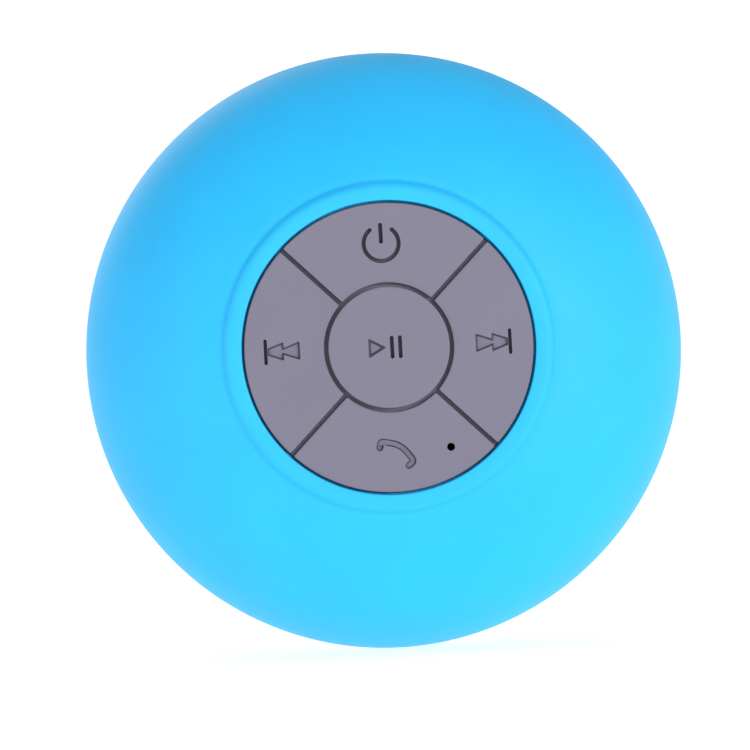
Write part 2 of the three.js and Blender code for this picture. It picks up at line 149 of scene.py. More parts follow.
def bowl_paint():
    paint = bpy.data.materials.new("studio_white")
    paint.use_nodes = True
    nodes, links = paint.node_tree.nodes, paint.node_tree.links
    nodes.clear()
    out = nodes.new("ShaderNodeOutputMaterial")
    dull = nodes.new("ShaderNodeBsdfDiffuse")
    dull.inputs["Color"].default_value = (0.55, 0.55, 0.55, 1)
    glow = nodes.new("ShaderNodeEmission")
    glow.inputs["Color"].default_value = (1, 1, 1, 1)
    glow.inputs["Strength"].default_value = 0.74
    both = nodes.new("ShaderNodeAddShader")
    clear = nodes.new("ShaderNodeBsdfTransparent")
    side = nodes.new("ShaderNodeNewGeometry")
    choose = nodes.new("ShaderNodeMixShader")
    links.new(dull.outputs[0], both.inputs[0])
    links.new(glow.outputs[0], both.inputs[1])
    links.new(side.outputs["Backfacing"], choose.inputs[0])
    links.new(both.outputs[0], choose.inputs[1])
    links.new(clear.outputs[0], choose.inputs[2])
    links.new(choose.outputs[0], out.inputs["Surface"])
    return paint


bowl = white_bowl()
bowl.data.materials.append(bowl_paint())

sky = bpy.data.worlds.new("studio_sky")
sky.use_nodes = True
sky.node_tree.nodes["Background"].inputs["Color"].default_value = (1, 1, 1, 1)
sky.node_tree.nodes["Background"].inputs["Strength"].default_value = 0.42
bpy.context.scene.world = sky
bpy.context.scene.view_settings.view_transform = "Standard"


def soft_lamp(name, place, size, power):
    data = bpy.data.lights.new(name, "AREA")
    data.shape = "DISK"
    data.size = size
    data.energy = power
    lamp = link(bpy.data.objects.new(name, data))
    lamp.location = place
    lamp.rotation_mode = "QUATERNION"
    lamp.rotation_quaternion = (aim - Vector(place)).to_track_quat("-Z", "Y")


soft_lamp("front_lamp", (0.85, -1.15, 0.05), 0.8, 13)
soft_lamp("left_lamp", (-1.1, -0.8, 0.1), 0.8, 2.6)
soft_lamp("top_lamp", (0.1, 0.1, 1.3), 1.0, 0.6)
soft_lamp("back_lamp", (-0.5, 1.2, 0.7), 0.9, 4)

# ---------------------------------------------------------------- silicone jacket
# The bright blue skin: one soft silicone moulding stretched over both housings, with a flat
# raised ring round the keypad. It is cut through at the bottom for the charging port.
body_radius, widest_depth = 43.0, 26.0
dome_height, dome_power = 30.7, 2.4
back_corner, back_depth = 12.0, 10.5
skin = 1.8
port_depth = 22.3


def dome_line(inset, start, steps):
    """(radius, depth) points from a start radius out to the widest plane."""
    radius, height = body_radius - inset, dome_height - inset
    first = math.asin((start / radius) ** (dome_power / 2))
    points = []
    for i in range(steps + 1):
        turn = first + (math.pi / 2 - first) * i / steps
        points.append(
            (
                radius * math.sin(turn) ** (2 / dome_power),
                widest_depth
                + height * max(0.0, math.cos(turn)) ** (2 / dome_power),
            )
        )
    return points


def back_line(inset, first, last, steps):
    """(radius, depth) points round the back corner: 0 is the widest plane, 90 the back."""
    points = []
    for i in range(steps + 1):
        turn = math.radians(first + (last - first) * i / steps)
        points.append(
            (
                body_radius - back_corner + (back_corner - inset) * math.cos(turn),
                widest_depth - (back_depth - inset) * math.sin(turn),
            )
        )
    return points


def filleted(corners, closed=True, steps=5):
    """Corners given as (a, b) or (a, b, fillet), with every fillet turned into an arc."""
    line = []
    for i, corner in enumerate(corners):
        here = Vector(corner[:2])
        fillet = corner[2] if len(corner) > 2 else 0
        end_point = not closed and i in (0, len(corners) - 1)
        if not fillet or end_point:
            line.append(tuple(here))
            continue
        before = Vector(corners[i - 1][:2]) - here
        after = Vector(corners[(i + 1) % len(corners)][:2]) - here
        half = before.angle(after) / 2
        reach = min(fillet / math.tan(half), 0.49 * before.length, 0.49 * after.length)
        radius = reach * math.tan(half)
        towards = (before.normalized() + after.normalized()).normalized()
        centre = here + towards * radius / math.sin(half)
        begin = here + before.normalized() * reach - centre
        finish_at = here + after.normalized() * reach - centre
        start_angle = math.atan2(begin.y, begin.x)
        swing = math.atan2(finish_at.y, finish_at.x) - start_angle
        swing = (swing + math.pi) % (2 * math.pi) - math.pi
        for k in range(steps + 1):
            angle = start_angle + swing * k / steps
            line.append(
                (centre.x + radius * math.cos(angle), centre.y + radius * math.sin(angle))
            )
    return line


def smooth_mesh(shape, name, sharp=35):
    """Turns a bmesh into an object, smooth but for edges sharper than an angle."""
    bmesh.ops.recalc_face_normals(shape, faces=shape.faces)
    for edge in shape.edges:
        if edge.calc_face_angle(0) > math.radians(sharp):
            edge.smooth = False
    for face in shape.faces:
        face.smooth = True
    data = bpy.data.meshes.new(name)
    shape.to_mesh(data)
    shape.free()
    return link(bpy.data.objects.new(name, data))


def turn_into(shape, profile, sides=160, x=0.0, z=0.0, material=0):
    """Adds a solid of revolution about the axis, or a line beside it, from (radius, depth)."""
    rows = []
    for radius, depth in profile:
        if radius < 1e-6:
            rows.append([shape.verts.new((x * MM, -depth * MM, z * MM))])
            continue
        row = []
        for i in range(sides):
            turn = 2 * math.pi * i / sides
            row.append(
                shape.verts.new(
                    (
                        (x + radius * math.cos(turn)) * MM,
                        -depth * MM,
                        (z + radius * math.sin(turn)) * MM,
                    )
                )
            )
        rows.append(row)
    pairs = list(zip(rows, rows[1:]))
    if len(rows[0]) > 1 and len(rows[-1]) > 1:
        pairs.append((rows[-1], rows[0]))
    for one, two in pairs:
        for i in range(sides):
            j = (i + 1) % sides
            if len(one) == 1:
                face = shape.faces.new((one[0], two[j], two[i]))
            elif len(two) == 1:
                face = shape.faces.new((one[i], one[j], two[0]))
            else:
                face = shape.faces.new((one[i], one[j], two[j], two[i]))
            face.material_index = material


def turned(name, profile, sides=160, sharp=35, x=0.0, z=0.0):
    shape = bmesh.new()
    turn_into(shape, profile, sides, x, z)
    return smooth_mesh(shape, name, sharp)


def moulded(
    name,
    colour,
    roughness,
    grain=0.25,
    relief=0.02,
    mottle=0.05,
    gloss_change=0.06,
    metallic=0.0,
    sheen=0.0,
    sheen_tint=(1, 1, 1),
    coat=0.0,
    glow_through=0.0,
    glow_depth=1.0,
):
    """A moulded or plated finish: a fine grain in relief, and slow drifts of colour and gloss."""
    made = bpy.data.materials.new(name)
    made.use_nodes = True
    nodes, links = made.node_tree.nodes, made.node_tree.links
    skin_shader = nodes["Principled BSDF"]
    place = nodes.new("ShaderNodeTexCoord")
    drift = nodes.new("ShaderNodeTexNoise")
    drift.inputs["Scale"].default_value = 90
    drift.inputs["Detail"].default_value = 3
    speck = nodes.new("ShaderNodeTexNoise")
    speck.inputs["Scale"].default_value = 1 / (grain * MM)
    speck.inputs["Detail"].default_value = 2
    speck.inputs["Roughness"].default_value = 0.6
    links.new(place.outputs["Object"], drift.inputs["Vector"])
    links.new(place.outputs["Object"], speck.inputs["Vector"])
    shades = nodes.new("ShaderNodeValToRGB")
    shades.color_ramp.elements[0].position = 0.3
    shades.color_ramp.elements[1].position = 0.7
    shades.color_ramp.elements[0].color = (*[c * (1 - mottle) for c in colour], 1)
    shades.color_ramp.elements[1].color = (
        *[min(1.0, c * (1 + mottle)) for c in colour],
        1,
    )
    links.new(drift.outputs["Fac"], shades.inputs["Fac"])
    links.new(shades.outputs["Color"], skin_shader.inputs["Base Color"])
    gloss = nodes.new("ShaderNodeMapRange")
    gloss.inputs["To Min"].default_value = max(0.02, roughness - gloss_change)
    gloss.inputs["To Max"].default_value = min(1.0, roughness + gloss_change)
    links.new(speck.outputs["Fac"], gloss.inputs["Value"])
    links.new(gloss.outputs["Result"], skin_shader.inputs["Roughness"])
    bump = nodes.new("ShaderNodeBump")
    bump.inputs["Strength"].default_value = 0.6
    bump.inputs["Distance"].default_value = relief * MM
    links.new(speck.outputs["Fac"], bump.inputs["Height"])
    links.new(bump.outputs["Normal"], skin_shader.inputs["Normal"])
    skin_shader.inputs["Metallic"].default_value = metallic
    skin_shader.inputs["Sheen Weight"].default_value = sheen
    skin_shader.inputs["Sheen Roughness"].default_value = 0.4
    skin_shader.inputs["Sheen Tint"].default_value = (*sheen_tint, 1)
    skin_shader.inputs["Coat Weight"].default_value = coat
    skin_shader.inputs["Subsurface Weight"].default_value = glow_through
    skin_shader.inputs["Subsurface Scale"].default_value = glow_depth * MM
    return made


def clad(piece, material, slot, body, *nodes):
    """Gives a finished piece its material and its body, and hides the CAD nodes it shows.
    A piece that flexes between two bodies has no body here. The slot argument is not used."""
    if not piece.data.materials:
        piece.data.materials.append(material)
    if body:
        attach(piece, body)
    if nodes:
        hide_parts(*nodes)
    return piece


blue_silicone = moulded(
    "blue_silicone",
    (0.009, 0.5, 0.98),
    0.6,
    grain=0.22,
    relief=0.012,
    mottle=0.025,
    sheen=0.05,
    sheen_tint=(0.6, 0.85, 1),
)

jacket_line = filleted(
    [
        (20.3, 52.3, 0.1),
        (20.3, 52.7, 0.1),
        (20.5, 52.7, 0.1),
        (20.5, 54.5, 0.22),
        (22.65, 54.5, 1.2),
        (23.3, 53.37, 0.9),
        *dome_line(0, 24.0, 60),
        *back_line(0, 2, 82, 26),
        (31.0, 15.6, 0.5),
        (31.0, 17.3, 0.2),
        *back_line(skin, 84, 4, 14),
        *reversed(dome_line(skin, 24, 24)),
        (23.0, 51.4, 0.2),
        (22.9, 52.4, 0.1),
    ]
)
jacket = turned("jacket", jacket_line, sides=256)


def port_block(width, height, corner, inner, outer):
    """A block through the underside with rounded corners, round the charging port."""
    shape = bmesh.new()
    half_w, half_h = width / 2, height / 2
    corners = [(-half_w, -half_h), (half_w, -half_h), (half_w, half_h), (-half_w, half_h)]
    rounded = filleted([(a, b, corner) for a, b in corners], steps=8)
    loops = []
    for reach in (inner, outer):
        loops.append(
            [
                shape.verts.new((a * MM, -(port_depth - 0.3 + b) * MM, -reach * MM))
                for a, b in rounded
            ]
        )
    count = len(rounded)
    for i in range(count):
        j = (i + 1) % count
        shape.faces.new((loops[0][i], loops[0][j], loops[1][j], loops[1][i]))
    shape.faces.new(loops[0])
    shape.faces.new(list(reversed(loops[1])))
    return smooth_mesh(shape, "port_block")


def baked(piece):
    """Applies the piece's modifiers to its mesh."""
    bpy.context.view_layer.update()
    seen = piece.evaluated_get(bpy.context.evaluated_depsgraph_get())
    data = bpy.data.meshes.new_from_object(seen)
    piece.modifiers.clear()
    old = piece.data
    piece.data = data
    bpy.data.meshes.remove(old)
    return piece


def cut_away(piece, cutter):
    """Cuts the cutter's shape out of a piece and discards the cutter."""
    knife = piece.modifiers.new("cut", "BOOLEAN")
    knife.operation = "DIFFERENCE"
    knife.solver = "EXACT"
    knife.object = cutter
    baked(piece)
    bpy.data.objects.remove(cutter)


def skin_direction(point):
    """Which way the skin's outside faces at a point on it."""
    radius, depth = math.hypot(point.x, point.z) / MM, -point.y / MM
    if depth >= widest_depth:
        out = dome_power / body_radius * (radius / body_radius) ** (dome_power - 1)
        forward = (
            dome_power
            / dome_height
            * ((depth - widest_depth) / dome_height) ** (dome_power - 1)
        )
    else:
        out = (radius - body_radius + back_corner) / back_corner**2
        forward = (depth - widest_depth) / back_depth**2
    across = Vector((point.x, 0, point.z)).normalized()
    return (across * out + Vector((0, -forward, 0))).normalized()


def true_skin_shading(piece):
    """Gives faces that lie in the skin's outside the curve's own normals."""
    data = piece.data
    normals = [corner.vector.copy() for corner in data.corner_normals]
    for face in data.polygons:
        radius = math.hypot(face.center.x, face.center.z) / MM
        if radius < 25 or -face.center.y / MM < 16:
            continue
        if face.normal.dot(skin_direction(face.center)) > 0.985:
            for i in face.loop_indices:
                corner = data.vertices[data.loops[i].vertex_index].co
                normals[i] = skin_direction(corner)
    data.normals_split_custom_set([tuple(n) for n in normals])


cut_away(jacket, port_block(11.5, 6.1, 1.3, 37, 45))
true_skin_shading(jacket)
clad(jacket, blue_silicone, "blue_silicone", "speaker", "silicone_jacket")

# ---------------------------------------------------------------- keypad
# One sheet of soft grey silicone moulded with five raised keys. The keys stand through the
# ring of the jacket with a narrow gap; their symbols and the sound hole are moulded in.
keypad_radius, centre_radius, key_gap = 20.15, 8.45, 0.56
key_back, nub_back, nub_radius = 52.4, 51.1, 1.5
quarter_face, centre_face = 54.3, 54.8
grey_silicone = moulded(
    "grey_silicone",
    (0.184, 0.172, 0.24),
    0.62,
    grain=0.16,
    relief=0.014,
    mottle=0.02,
    sheen=0.15,
)
# The same grey silicone darkened as painted shade, for the walls of the symbols' recesses, the
# floors of their narrow strokes, the sides of the keys in their gaps and their backs.
grey_painted_shade = moulded(
    "grey_silicone_painted_shade",
    (0.085, 0.066, 0.1),
    0.75,
    grain=0.12,
    relief=0.02,
    mottle=0.06,
)


def grown(outline, amount):
    """An anticlockwise outline moved outwards, its corners mitred and their fillets kept."""
    shifted = []
    for i, (x, z, *fillet) in enumerate(outline):
        before = Vector((x, z)) - Vector(outline[i - 1][:2])
        after = Vector(outline[(i + 1) % len(outline)][:2]) - Vector((x, z))
        one = Vector((before.y, -before.x)).normalized()
        two = Vector((after.y, -after.x)).normalized()
        middle = (one + two).normalized()
        reach = amount / max(0.3, middle.dot(one))
        shifted.append((x + middle.x * reach, z + middle.y * reach, *fillet))
    return shifted


def circle(radius, x=0.0, z=0.0, count=48):
    turns = [2 * math.pi * i / count for i in range(count)]
    return [(x + radius * math.cos(t), z + radius * math.sin(t)) for t in turns]


def moulded_plate(name, outline, pockets, back, front, edge, nubs=(), holes=()):
    """A plate with a rounded front edge. Pockets are (corners, depth, slope) with walls that
    slope in, and holes go right through. Material 1, painted shade, is on side walls, narrow floors
    and the back."""
    shape = bmesh.new()

    def loop(points, depth):
        return [shape.verts.new((x * MM, -depth * MM, z * MM)) for x, z in points]

    def wall(one, two, material):
        for i in range(len(one)):
            j = (i + 1) % len(one)
            face = shape.faces.new((one[i], one[j], two[j], two[i]))
            face.material_index = material

    def cap(loops, material):
        joined = [vertex for points in loops for vertex in points]
        spots = [[Vector((v.co.x, v.co.z, 0)) for v in points] for points in loops]
        for corners in tessellate_polygon(spots):
            face = shape.faces.new([joined[k] for k in corners])
            face.material_index = material
            for side in face.edges:
                side.smooth = False

    def rounded_edge(points, size, outwards, steps=4):
        rows = []
        for k in range(steps + 1):
            turn = math.radians(90 * k / steps)
            inset = size * (1 - math.sin(turn)) * outwards
            rows.append(loop(grown(points, inset), front - size * (1 - math.cos(turn))))
        for one, two in zip(rows, rows[1:]):
            wall(one, two, 0)
        return rows[0], rows[-1]

    top, side = rounded_edge(outline, edge, -1)
    bottom = loop(outline, back)
    # The plate's sides, in the gaps between keys, take material 1, painted shade.
    wall(side, bottom, 1)
    front_loops, back_loops = [top], [bottom]
    for corners, depth, slope in pockets:
        mouth, throat = rounded_edge(filleted(corners, steps=3), 0.05, 1, 3)
        floor = loop(filleted(grown(corners, -slope), steps=3), front - depth)
        wall(throat, floor, 1)
        # Narrow, upright floors take painted shade; wide sloped floors keep the plate's own grey.
        cap([floor], 1 if slope < 0.1 else 0)
        front_loops.append(mouth)
    for points in holes:
        mouth, throat = rounded_edge(points, 0.08, 1, 3)
        exit_loop = loop(points, back)
        wall(throat, exit_loop, 1)
        front_loops.append(mouth)
        back_loops.append(exit_loop)
    cap(front_loops, 0)
    cap(back_loops, 1)
    for x, z in nubs:
        post = [(0, nub_back), (nub_radius, nub_back), (nub_radius, back + 0.3), (0, back + 0.3)]
        turn_into(shape, post, 24, x, z, 1)
    return smooth_mesh(shape, name, 35)


def stroke(points, width):
    """The outline of a line of constant width with round ends, anticlockwise."""
    path = [Vector(p) for p in points]
    half = width / 2
    left, right = [], []
    for i, here in enumerate(path):
        ahead = path[min(i + 1, len(path) - 1)] - path[max(i - 1, 0)]
        across = Vector((-ahead.y, ahead.x)).normalized()
        left.append(here + across * half)
        right.append(here - across * half)

    def end_arc(centre, first):
        start = math.atan2(first.y - centre.y, first.x - centre.x)
        turns = [start + math.pi * k / 8 for k in range(1, 8)]
        return [centre + Vector((math.cos(t), math.sin(t))) * half for t in turns]

    outline = right + end_arc(path[-1], right[-1])
    outline += list(reversed(left)) + end_arc(path[0], left[0])
    return [tuple(p) for p in outline]


def moved(outline, x, z, turn=0.0, flip=False):
    """An outline turned, mirrored if asked, and put at (x, z)."""
    spin = Matrix.Rotation(math.radians(turn), 2)
    placed = []
    for point in outline:
        here = spin @ Vector((-point[0] if flip else point[0], point[1]))
        placed.append((here.x + x, here.y + z, *point[2:]))
    return list(reversed(placed)) if flip else placed


def quarter(middle):
    """A quarter of the keypad's ring, with straight grooves of even width beside it."""
    inner = centre_radius + key_gap

    def lean(radius):
        return math.degrees(math.asin(key_gap / 2 / radius))

    def arc(radius, first, last, steps):
        turns = [math.radians(first + (last - first) * i / steps) for i in range(steps + 1)]
        return [(radius * math.cos(t), radius * math.sin(t)) for t in turns]

    outer_arc = arc(
        keypad_radius, middle - 45 + lean(keypad_radius), middle + 45 - lean(keypad_radius), 60
    )
    inner_arc = arc(inner, middle + 45 - lean(inner), middle - 45 + lean(inner), 36)
    corners = [
        (*outer_arc[0], 0.3),
        *outer_arc[1:-1],
        (*outer_arc[-1], 0.3),
        (*inner_arc[0], 0.25),
        *inner_arc[1:-1],
        (*inner_arc[-1], 0.25),
    ]
    return filleted(corners, steps=4)


upright, bar_depth, skip_depth, skip_slope = 0.05, 0.8, 0.55, 0.24
ring_radius = 2.44
ring_line = [
    (ring_radius * math.sin(math.radians(a)), ring_radius * math.cos(math.radians(a)))
    for a in range(322, 37, -6)
]
power_marks = [
    (moved(stroke(ring_line, 0.56), -0.35, 14.5), 0.7, upright),
    (moved(stroke([(0, 0.25), (0, 2.6)], 0.54), -0.35, 14.5), bar_depth, upright),
]
skip_corners = [
    (-2.5, -1.3, 0.1),
    (-0.25, -0.48, 0.05),
    (-0.25, -1.3, 0.1),
    (1.99, -0.48, 0.05),
    (1.99, 0.48, 0.05),
    (-0.25, 1.3, 0.1),
    (-0.25, 0.48, 0.05),
    (-2.5, 1.3, 0.1),
]
skip_bar = stroke([(2.28, -1.54), (2.28, 1.54)], 0.46)
previous_marks = [
    (moved(skip_corners, -14.9, 0.2, flip=True), skip_depth, skip_slope),
    (moved(skip_bar, -14.9, 0.2, flip=True), bar_depth, upright),
]
next_marks = [
    (moved(skip_corners, 14.6, 0), skip_depth, skip_slope),
    (moved(skip_bar, 14.6, 0), bar_depth, upright),
]
play_corners = [(-1.2, -1.4, 0.12), (1.25, 0, 0.12), (-1.2, 1.4, 0.12)]
pause_bar = stroke([(0, -1.32), (0, 1.32)], 0.52)
centre_marks = [
    (moved(play_corners, -1.65, 0), 0.6, 0.34),
    (moved(pause_bar, 0.42, 0), bar_depth, upright),
    (moved(pause_bar, 1.56, 0), bar_depth, upright),
]
handset_spine = filleted(
    [(-2.35, 0.5), (-2.75, 1.3, 0.5), (0, 2.4, 4), (2.75, 1.3, 0.5), (2.35, 0.4)],
    closed=False,
    steps=8,
)
call_marks = [(moved(stroke(handset_spine, 0.92), -0.3, -15.6, turn=-33), 0.5, 0.18)]
sound_radius, sound_angle = 16.3, math.radians(-61)
sound_spot = (sound_radius * math.cos(sound_angle), sound_radius * math.sin(sound_angle))

switch_spot = 13.5
keys = {
    "power": (quarter(90), power_marks, [], (0, switch_spot)),
    "previous": (quarter(180), previous_marks, [], (-switch_spot, 0)),
    "next": (quarter(0), next_marks, [], (switch_spot, 0)),
    "call": (quarter(270), call_marks, [circle(0.55, *sound_spot, 28)], (0, -switch_spot)),
    "play_pause": (circle(centre_radius, count=120), centre_marks, [], (0, 0)),
}
for name, (outline, marks, holes, spot) in keys.items():
    face_depth = centre_face if name == "play_pause" else quarter_face
    key = moulded_plate(
        f"{name}_keycap", outline, marks, key_back, face_depth, 0.18, [spot], holes
    )
    key.data.materials.append(grey_silicone)
    key.data.materials.append(grey_painted_shade)
    clad(key, grey_silicone, "grey_silicone", f"{name}_key", f"key_{name}")


def rounded_box(shape, low, high, edge, steps=3, material=0):
    """A block in (x, depth, z) millimetres whose twelve edges are rounded."""
    made = bmesh.ops.create_cube(shape, size=1)["verts"]
    for vertex in made:
        vertex.co = Vector(
            (
                (low[0] if vertex.co.x < 0 else high[0]) * MM,
                -(low[1] if vertex.co.y > 0 else high[1]) * MM,
                (low[2] if vertex.co.z < 0 else high[2]) * MM,
            )
        )
    edges = list({side for vertex in made for side in vertex.link_edges})
    faces = {face for vertex in made for face in vertex.link_faces}
    for face in faces:
        face.material_index = material
    if edge:
        bmesh.ops.bevel(
            shape, geom=edges, offset=edge * MM, segments=steps, profile=0.5, affect="EDGES"
        )


web_holes = [circle(2.1, *spot, 32) for _, _, _, spot in keys.values()]
web_holes.append(circle(1.75, *sound_spot, 32))
web = moulded_plate("keypad_web_sheet", circle(22.6, count=120), [], 51.3, 52.0, 0.1, [], web_holes)
ribs = bmesh.new()
ribs.from_mesh(web.data)
bpy.data.objects.remove(web)
rib_width, rib_top = key_gap - 0.06, 53.1
rib_inner = centre_radius + 0.03
turn_into(
    ribs,
    [
        (rib_inner, 51.8),
        (rib_inner + rib_width, 51.8),
        (rib_inner + rib_width, rib_top),
        (rib_inner, rib_top),
    ],
    sides=120,
)
for middle in (45, 135, 225, 315):
    bar = bmesh.new()
    rounded_box(
        bar,
        (centre_radius + key_gap - 0.1, 51.8, -rib_width / 2),
        (keypad_radius, rib_top, rib_width / 2),
        0.05,
        1,
    )
    bar.transform(Matrix.Rotation(math.radians(-middle), 4, "Y"))
    bar_data = bpy.data.meshes.new("bar")
    bar.to_mesh(bar_data)
    bar.free()
    ribs.from_mesh(bar_data)
    bpy.data.meshes.remove(bar_data)
web = smooth_mesh(ribs, "keypad_sheet")
web.data.materials.append(grey_silicone)
# The sheet's walls and back take the grey in painted shade.
web.data.materials.append(grey_painted_shade)
clad(web, grey_silicone, "grey_silicone", "speaker", "keypad_web")

# ---------------------------------------------------------------- charging port cover
# A soft plug of the same blue silicone that closes the port flush with the skin. It has a
# stopper that grips the port, and a small ridge to catch with a fingernail.
cover_width, cover_height, cover_corner = 11.0, 5.6, 1.05


def skin_radius(depth):
    """The skin's outside radius on the back corner at a depth."""
    return body_radius - back_corner + back_corner * math.sqrt(
        1 - ((widest_depth - depth) / back_depth) ** 2
    )


def pad_on_skin(shape, outline, middle, foot, top, edge):
    """A pad that follows the skin: outline in (across, depth), foot and top above the skin."""

    def ring(points, height):
        made = []
        for across, depth in points:
            reach = skin_radius(depth) + height
            up = math.sqrt(reach**2 - across**2)
            made.append(shape.verts.new((across * MM, -depth * MM, -up * MM)))
        return made

    def sized(share, inset):
        return [
            (middle[0] + (a - middle[0]) * share, middle[1] + (b - middle[1]) * share)
            for a, b in grown(outline, -inset)
        ]

    rows = [ring(sized(share, 0), foot) for share in (0.2, 0.45, 0.7, 0.88, 1.0)]
    for k in range(5):
        turn = math.radians(90 * k / 4)
        rows.append(
            ring(sized(1.0, edge * (1 - math.cos(turn))), top - edge * (1 - math.sin(turn)))
        )
    rows += [ring(sized(share, edge), top) for share in (0.85, 0.68, 0.45, 0.2)]
    for one, two in zip(rows, rows[1:]):
        for i in range(len(one)):
            j = (i + 1) % len(one)
            shape.faces.new((one[i], one[j], two[j], two[i]))
    for end, height in ((rows[0], foot), (rows[-1], top)):
        tip = ring([middle], height)[0]
        for i in range(len(end)):
            shape.faces.new((end[i], end[(i + 1) % len(end)], tip))


half_w, half_h, port_middle = cover_width / 2, cover_height / 2, port_depth - 0.3
cover_outline = filleted(
    [
        (-half_w, port_middle - half_h, cover_corner),
        (half_w, port_middle - half_h, cover_corner),
        (half_w, port_middle + half_h, cover_corner),
        (-half_w, port_middle + half_h, cover_corner),
    ],
    steps=8,
)
cover_shape = bmesh.new()
pad_on_skin(cover_shape, cover_outline, (0, port_middle), -1.6, 0.0, 0.22)
ridge_outline = stroke([(-2.2, port_depth + 0.4), (2.2, port_depth + 0.4)], 0.85)
pad_on_skin(cover_shape, ridge_outline, (0, port_depth + 0.4), -0.5, 0.38, 0.3)
rounded_box(cover_shape, (-3.6, 21.1, -41.2), (3.6, 23.5, -38.7), 0.5, 4)
port_cover = smooth_mesh(cover_shape, "port_plug", 40)
clad(port_cover, blue_silicone, "blue_silicone", "port_cover", "usb_cover")

# ---------------------------------------------------------------- front housing
# The hard front half: a dark moulded dome under the skin with a flat plate behind the keys,
# four hollow columns for the housing screws and three posts for the board.
front_inset, wall = 2.1, 2.0
screw_circle, screw_angles = 34.0, (45, 135, 225, 315)
board_circle, board_angles = 20.5, (45, 135, 270)
dark_plastic = moulded(
    "dark_plastic", (0.03, 0.03, 0.035), 0.5, grain=0.12, relief=0.01, mottle=0.12
)


def on_face(radius, angle):
    """(x, z) of a point at a radius and an angle, seen from the front."""
    return radius * math.cos(math.radians(angle)), radius * math.sin(math.radians(angle))


def drill(piece, holes):
    """Cuts round holes (x, z, radius, from depth, to depth) through a piece."""
    bits = bmesh.new()
    for x, z, radius, near, far in holes:
        turn_into(bits, [(0, near), (radius, near), (radius, far), (0, far)], 32, x, z)
    cut_away(piece, smooth_mesh(bits, "drill"))


front_outer = dome_line(front_inset, 24, 30)
front_outer[-1] = (front_outer[-1][0], 26.2)
front_inner = dome_line(front_inset + wall, 22.3, 24)
front_inner[-1] = (front_inner[-1][0], 26.2)
front = turned(
    "front_shell",
    filleted(
        [
            (0, 51.0),
            (23.7, 51.0, 0.4),
            *front_outer,
            *reversed(front_inner),
            (22.2, 49.4, 0.3),
            (0, 49.4),
        ],
        closed=False,
    ),
    sides=144,
)
spots = [spot for _, _, _, spot in keys.values()]
mic_spot, led_spot = sound_spot, (6.6, -9.6)
drill(
    front,
    [(*spot, 2.3, 49, 52) for spot in spots]
    + [(*mic_spot, 1.75, 49, 52), (*led_spot, 1.2, 49, 52)],
)
posts = bmesh.new()
posts.from_mesh(front.data)
for angle in screw_angles:
    tube = [(1.4, 22.7), (2.8, 22.7), (2.8, 41.0), (1.4, 41.0)]
    rounded_tube = filleted([(r, d, 0.15) for r, d in tube], steps=2)
    turn_into(posts, rounded_tube, 32, *on_face(screw_circle, angle))
for angle in board_angles:
    tube = [(1.15, 46.9), (2.0, 46.9), (2.0, 49.7), (1.15, 49.7)]
    turn_into(posts, tube, 24, *on_face(board_circle, angle))
bpy.data.objects.remove(front)
front = smooth_mesh(posts, "front_shell")
clad(front, dark_plastic, "dark_plastic", "speaker", "front_housing")

# ---------------------------------------------------------------- rear housing
# The hard rear half, moulded in grey: the back corner under the skin, the shelf that carries
# the driver, and the neck, whose ring of upright ribs lets the sound out round the cup.
neck_radius, neck_inside, neck_back, neck_floor = 30.6, 28.8, 9.2, 11.0
slot_low, slot_high, rib_count, slot_width = 11.7, 16.7, 36, 2.3
grey_plastic = moulded(
    "grey_plastic",
    (0.2, 0.19, 0.245),
    0.48,
    grain=0.14,
    relief=0.012,
    mottle=0.04,
)

rear_outer = back_line(front_inset, 4.1, 86, 20)
rear_profile = filleted(
    [
        (23.0, 19.4, 0.3),
        (31.0, 19.4),
        (35.2, 20.2),
        (37.7, 22.2, 1.0),
        (38.9, 25.4, 0.1),
        *rear_outer,
        (31.2, 17.6, 0.2),
        (neck_radius, 17.4, 0.2),
        (neck_radius, slot_high, 0.15),
        (neck_inside, slot_high, 0.15),
        (neck_inside, 17.6, 0.2),
        (23.0, 17.6, 0.3),
    ],
    steps=3,
)
rear = turned("rear_shell", rear_profile, sides=180)
drill(rear, [(*on_face(screw_circle, a), 2.4, 15, 24) for a in screw_angles])
window = bmesh.new()
rounded_box(window, (-4.3, 20.6, -44), (4.3, 24.0, -35.5), 0.5, 3)
cut_away(rear, smooth_mesh(window, "window"))
rear_shape = bmesh.new()
rear_shape.from_mesh(rear.data)
bpy.data.objects.remove(rear)
plate_profile = filleted(
    [
        (4.3, neck_back, 0.3),
        (10.0, neck_back),
        (10.3, neck_back + 0.3),
        (26.5, neck_back + 0.3),
        (26.8, neck_back),
        (neck_radius, neck_back, 0.6),
        (neck_radius, slot_low, 0.15),
        (neck_inside, slot_low, 0.15),
        (neck_inside, neck_floor, 0.3),
        (6.8, neck_floor, 0.3),
        (6.8, 16.2, 0.3),
        (4.3, 16.2, 0.2),
    ],
    steps=4,
)
turn_into(rear_shape, plate_profile, 180)
for angle in screw_angles:
    seat = [(1.4, 20.2), (2.4, 20.2), (2.4, 18.7), (3.0, 18.7), (3.0, 22.4), (1.4, 22.4)]
    turn_into(rear_shape, seat, 32, *on_face(screw_circle, angle))
peg_line = filleted([(0, 18.9), (1.2, 18.9), (1.2, 23.3, 0.3), (0, 23.3)], False)
for x in (-6.5, 6.5):
    turn_into(rear_shape, peg_line, 24, x, -30)
rear = smooth_mesh(rear_shape, "rear_shell")
clad(rear, grey_plastic, "grey_plastic", "speaker", "rear_housing")


def tree_inputs(tree, inputs):
    """Gives a node tree its named inputs and its one output."""
    for name, kind in inputs:
        tree.interface.new_socket(name=name, in_out="INPUT", socket_type=kind)
    tree.interface.new_socket(
        name="Geometry", in_out="OUTPUT", socket_type="NodeSocketGeometry"
    )


def set_inputs(modifier, values):
    """Sets a modifier's inputs, found by name, through their identifiers."""
    for item in modifier.node_group.interface.items_tree:
        if item.item_type == "SOCKET" and item.in_out == "INPUT" and item.name in values:
            modifier[item.identifier] = values[item.name]


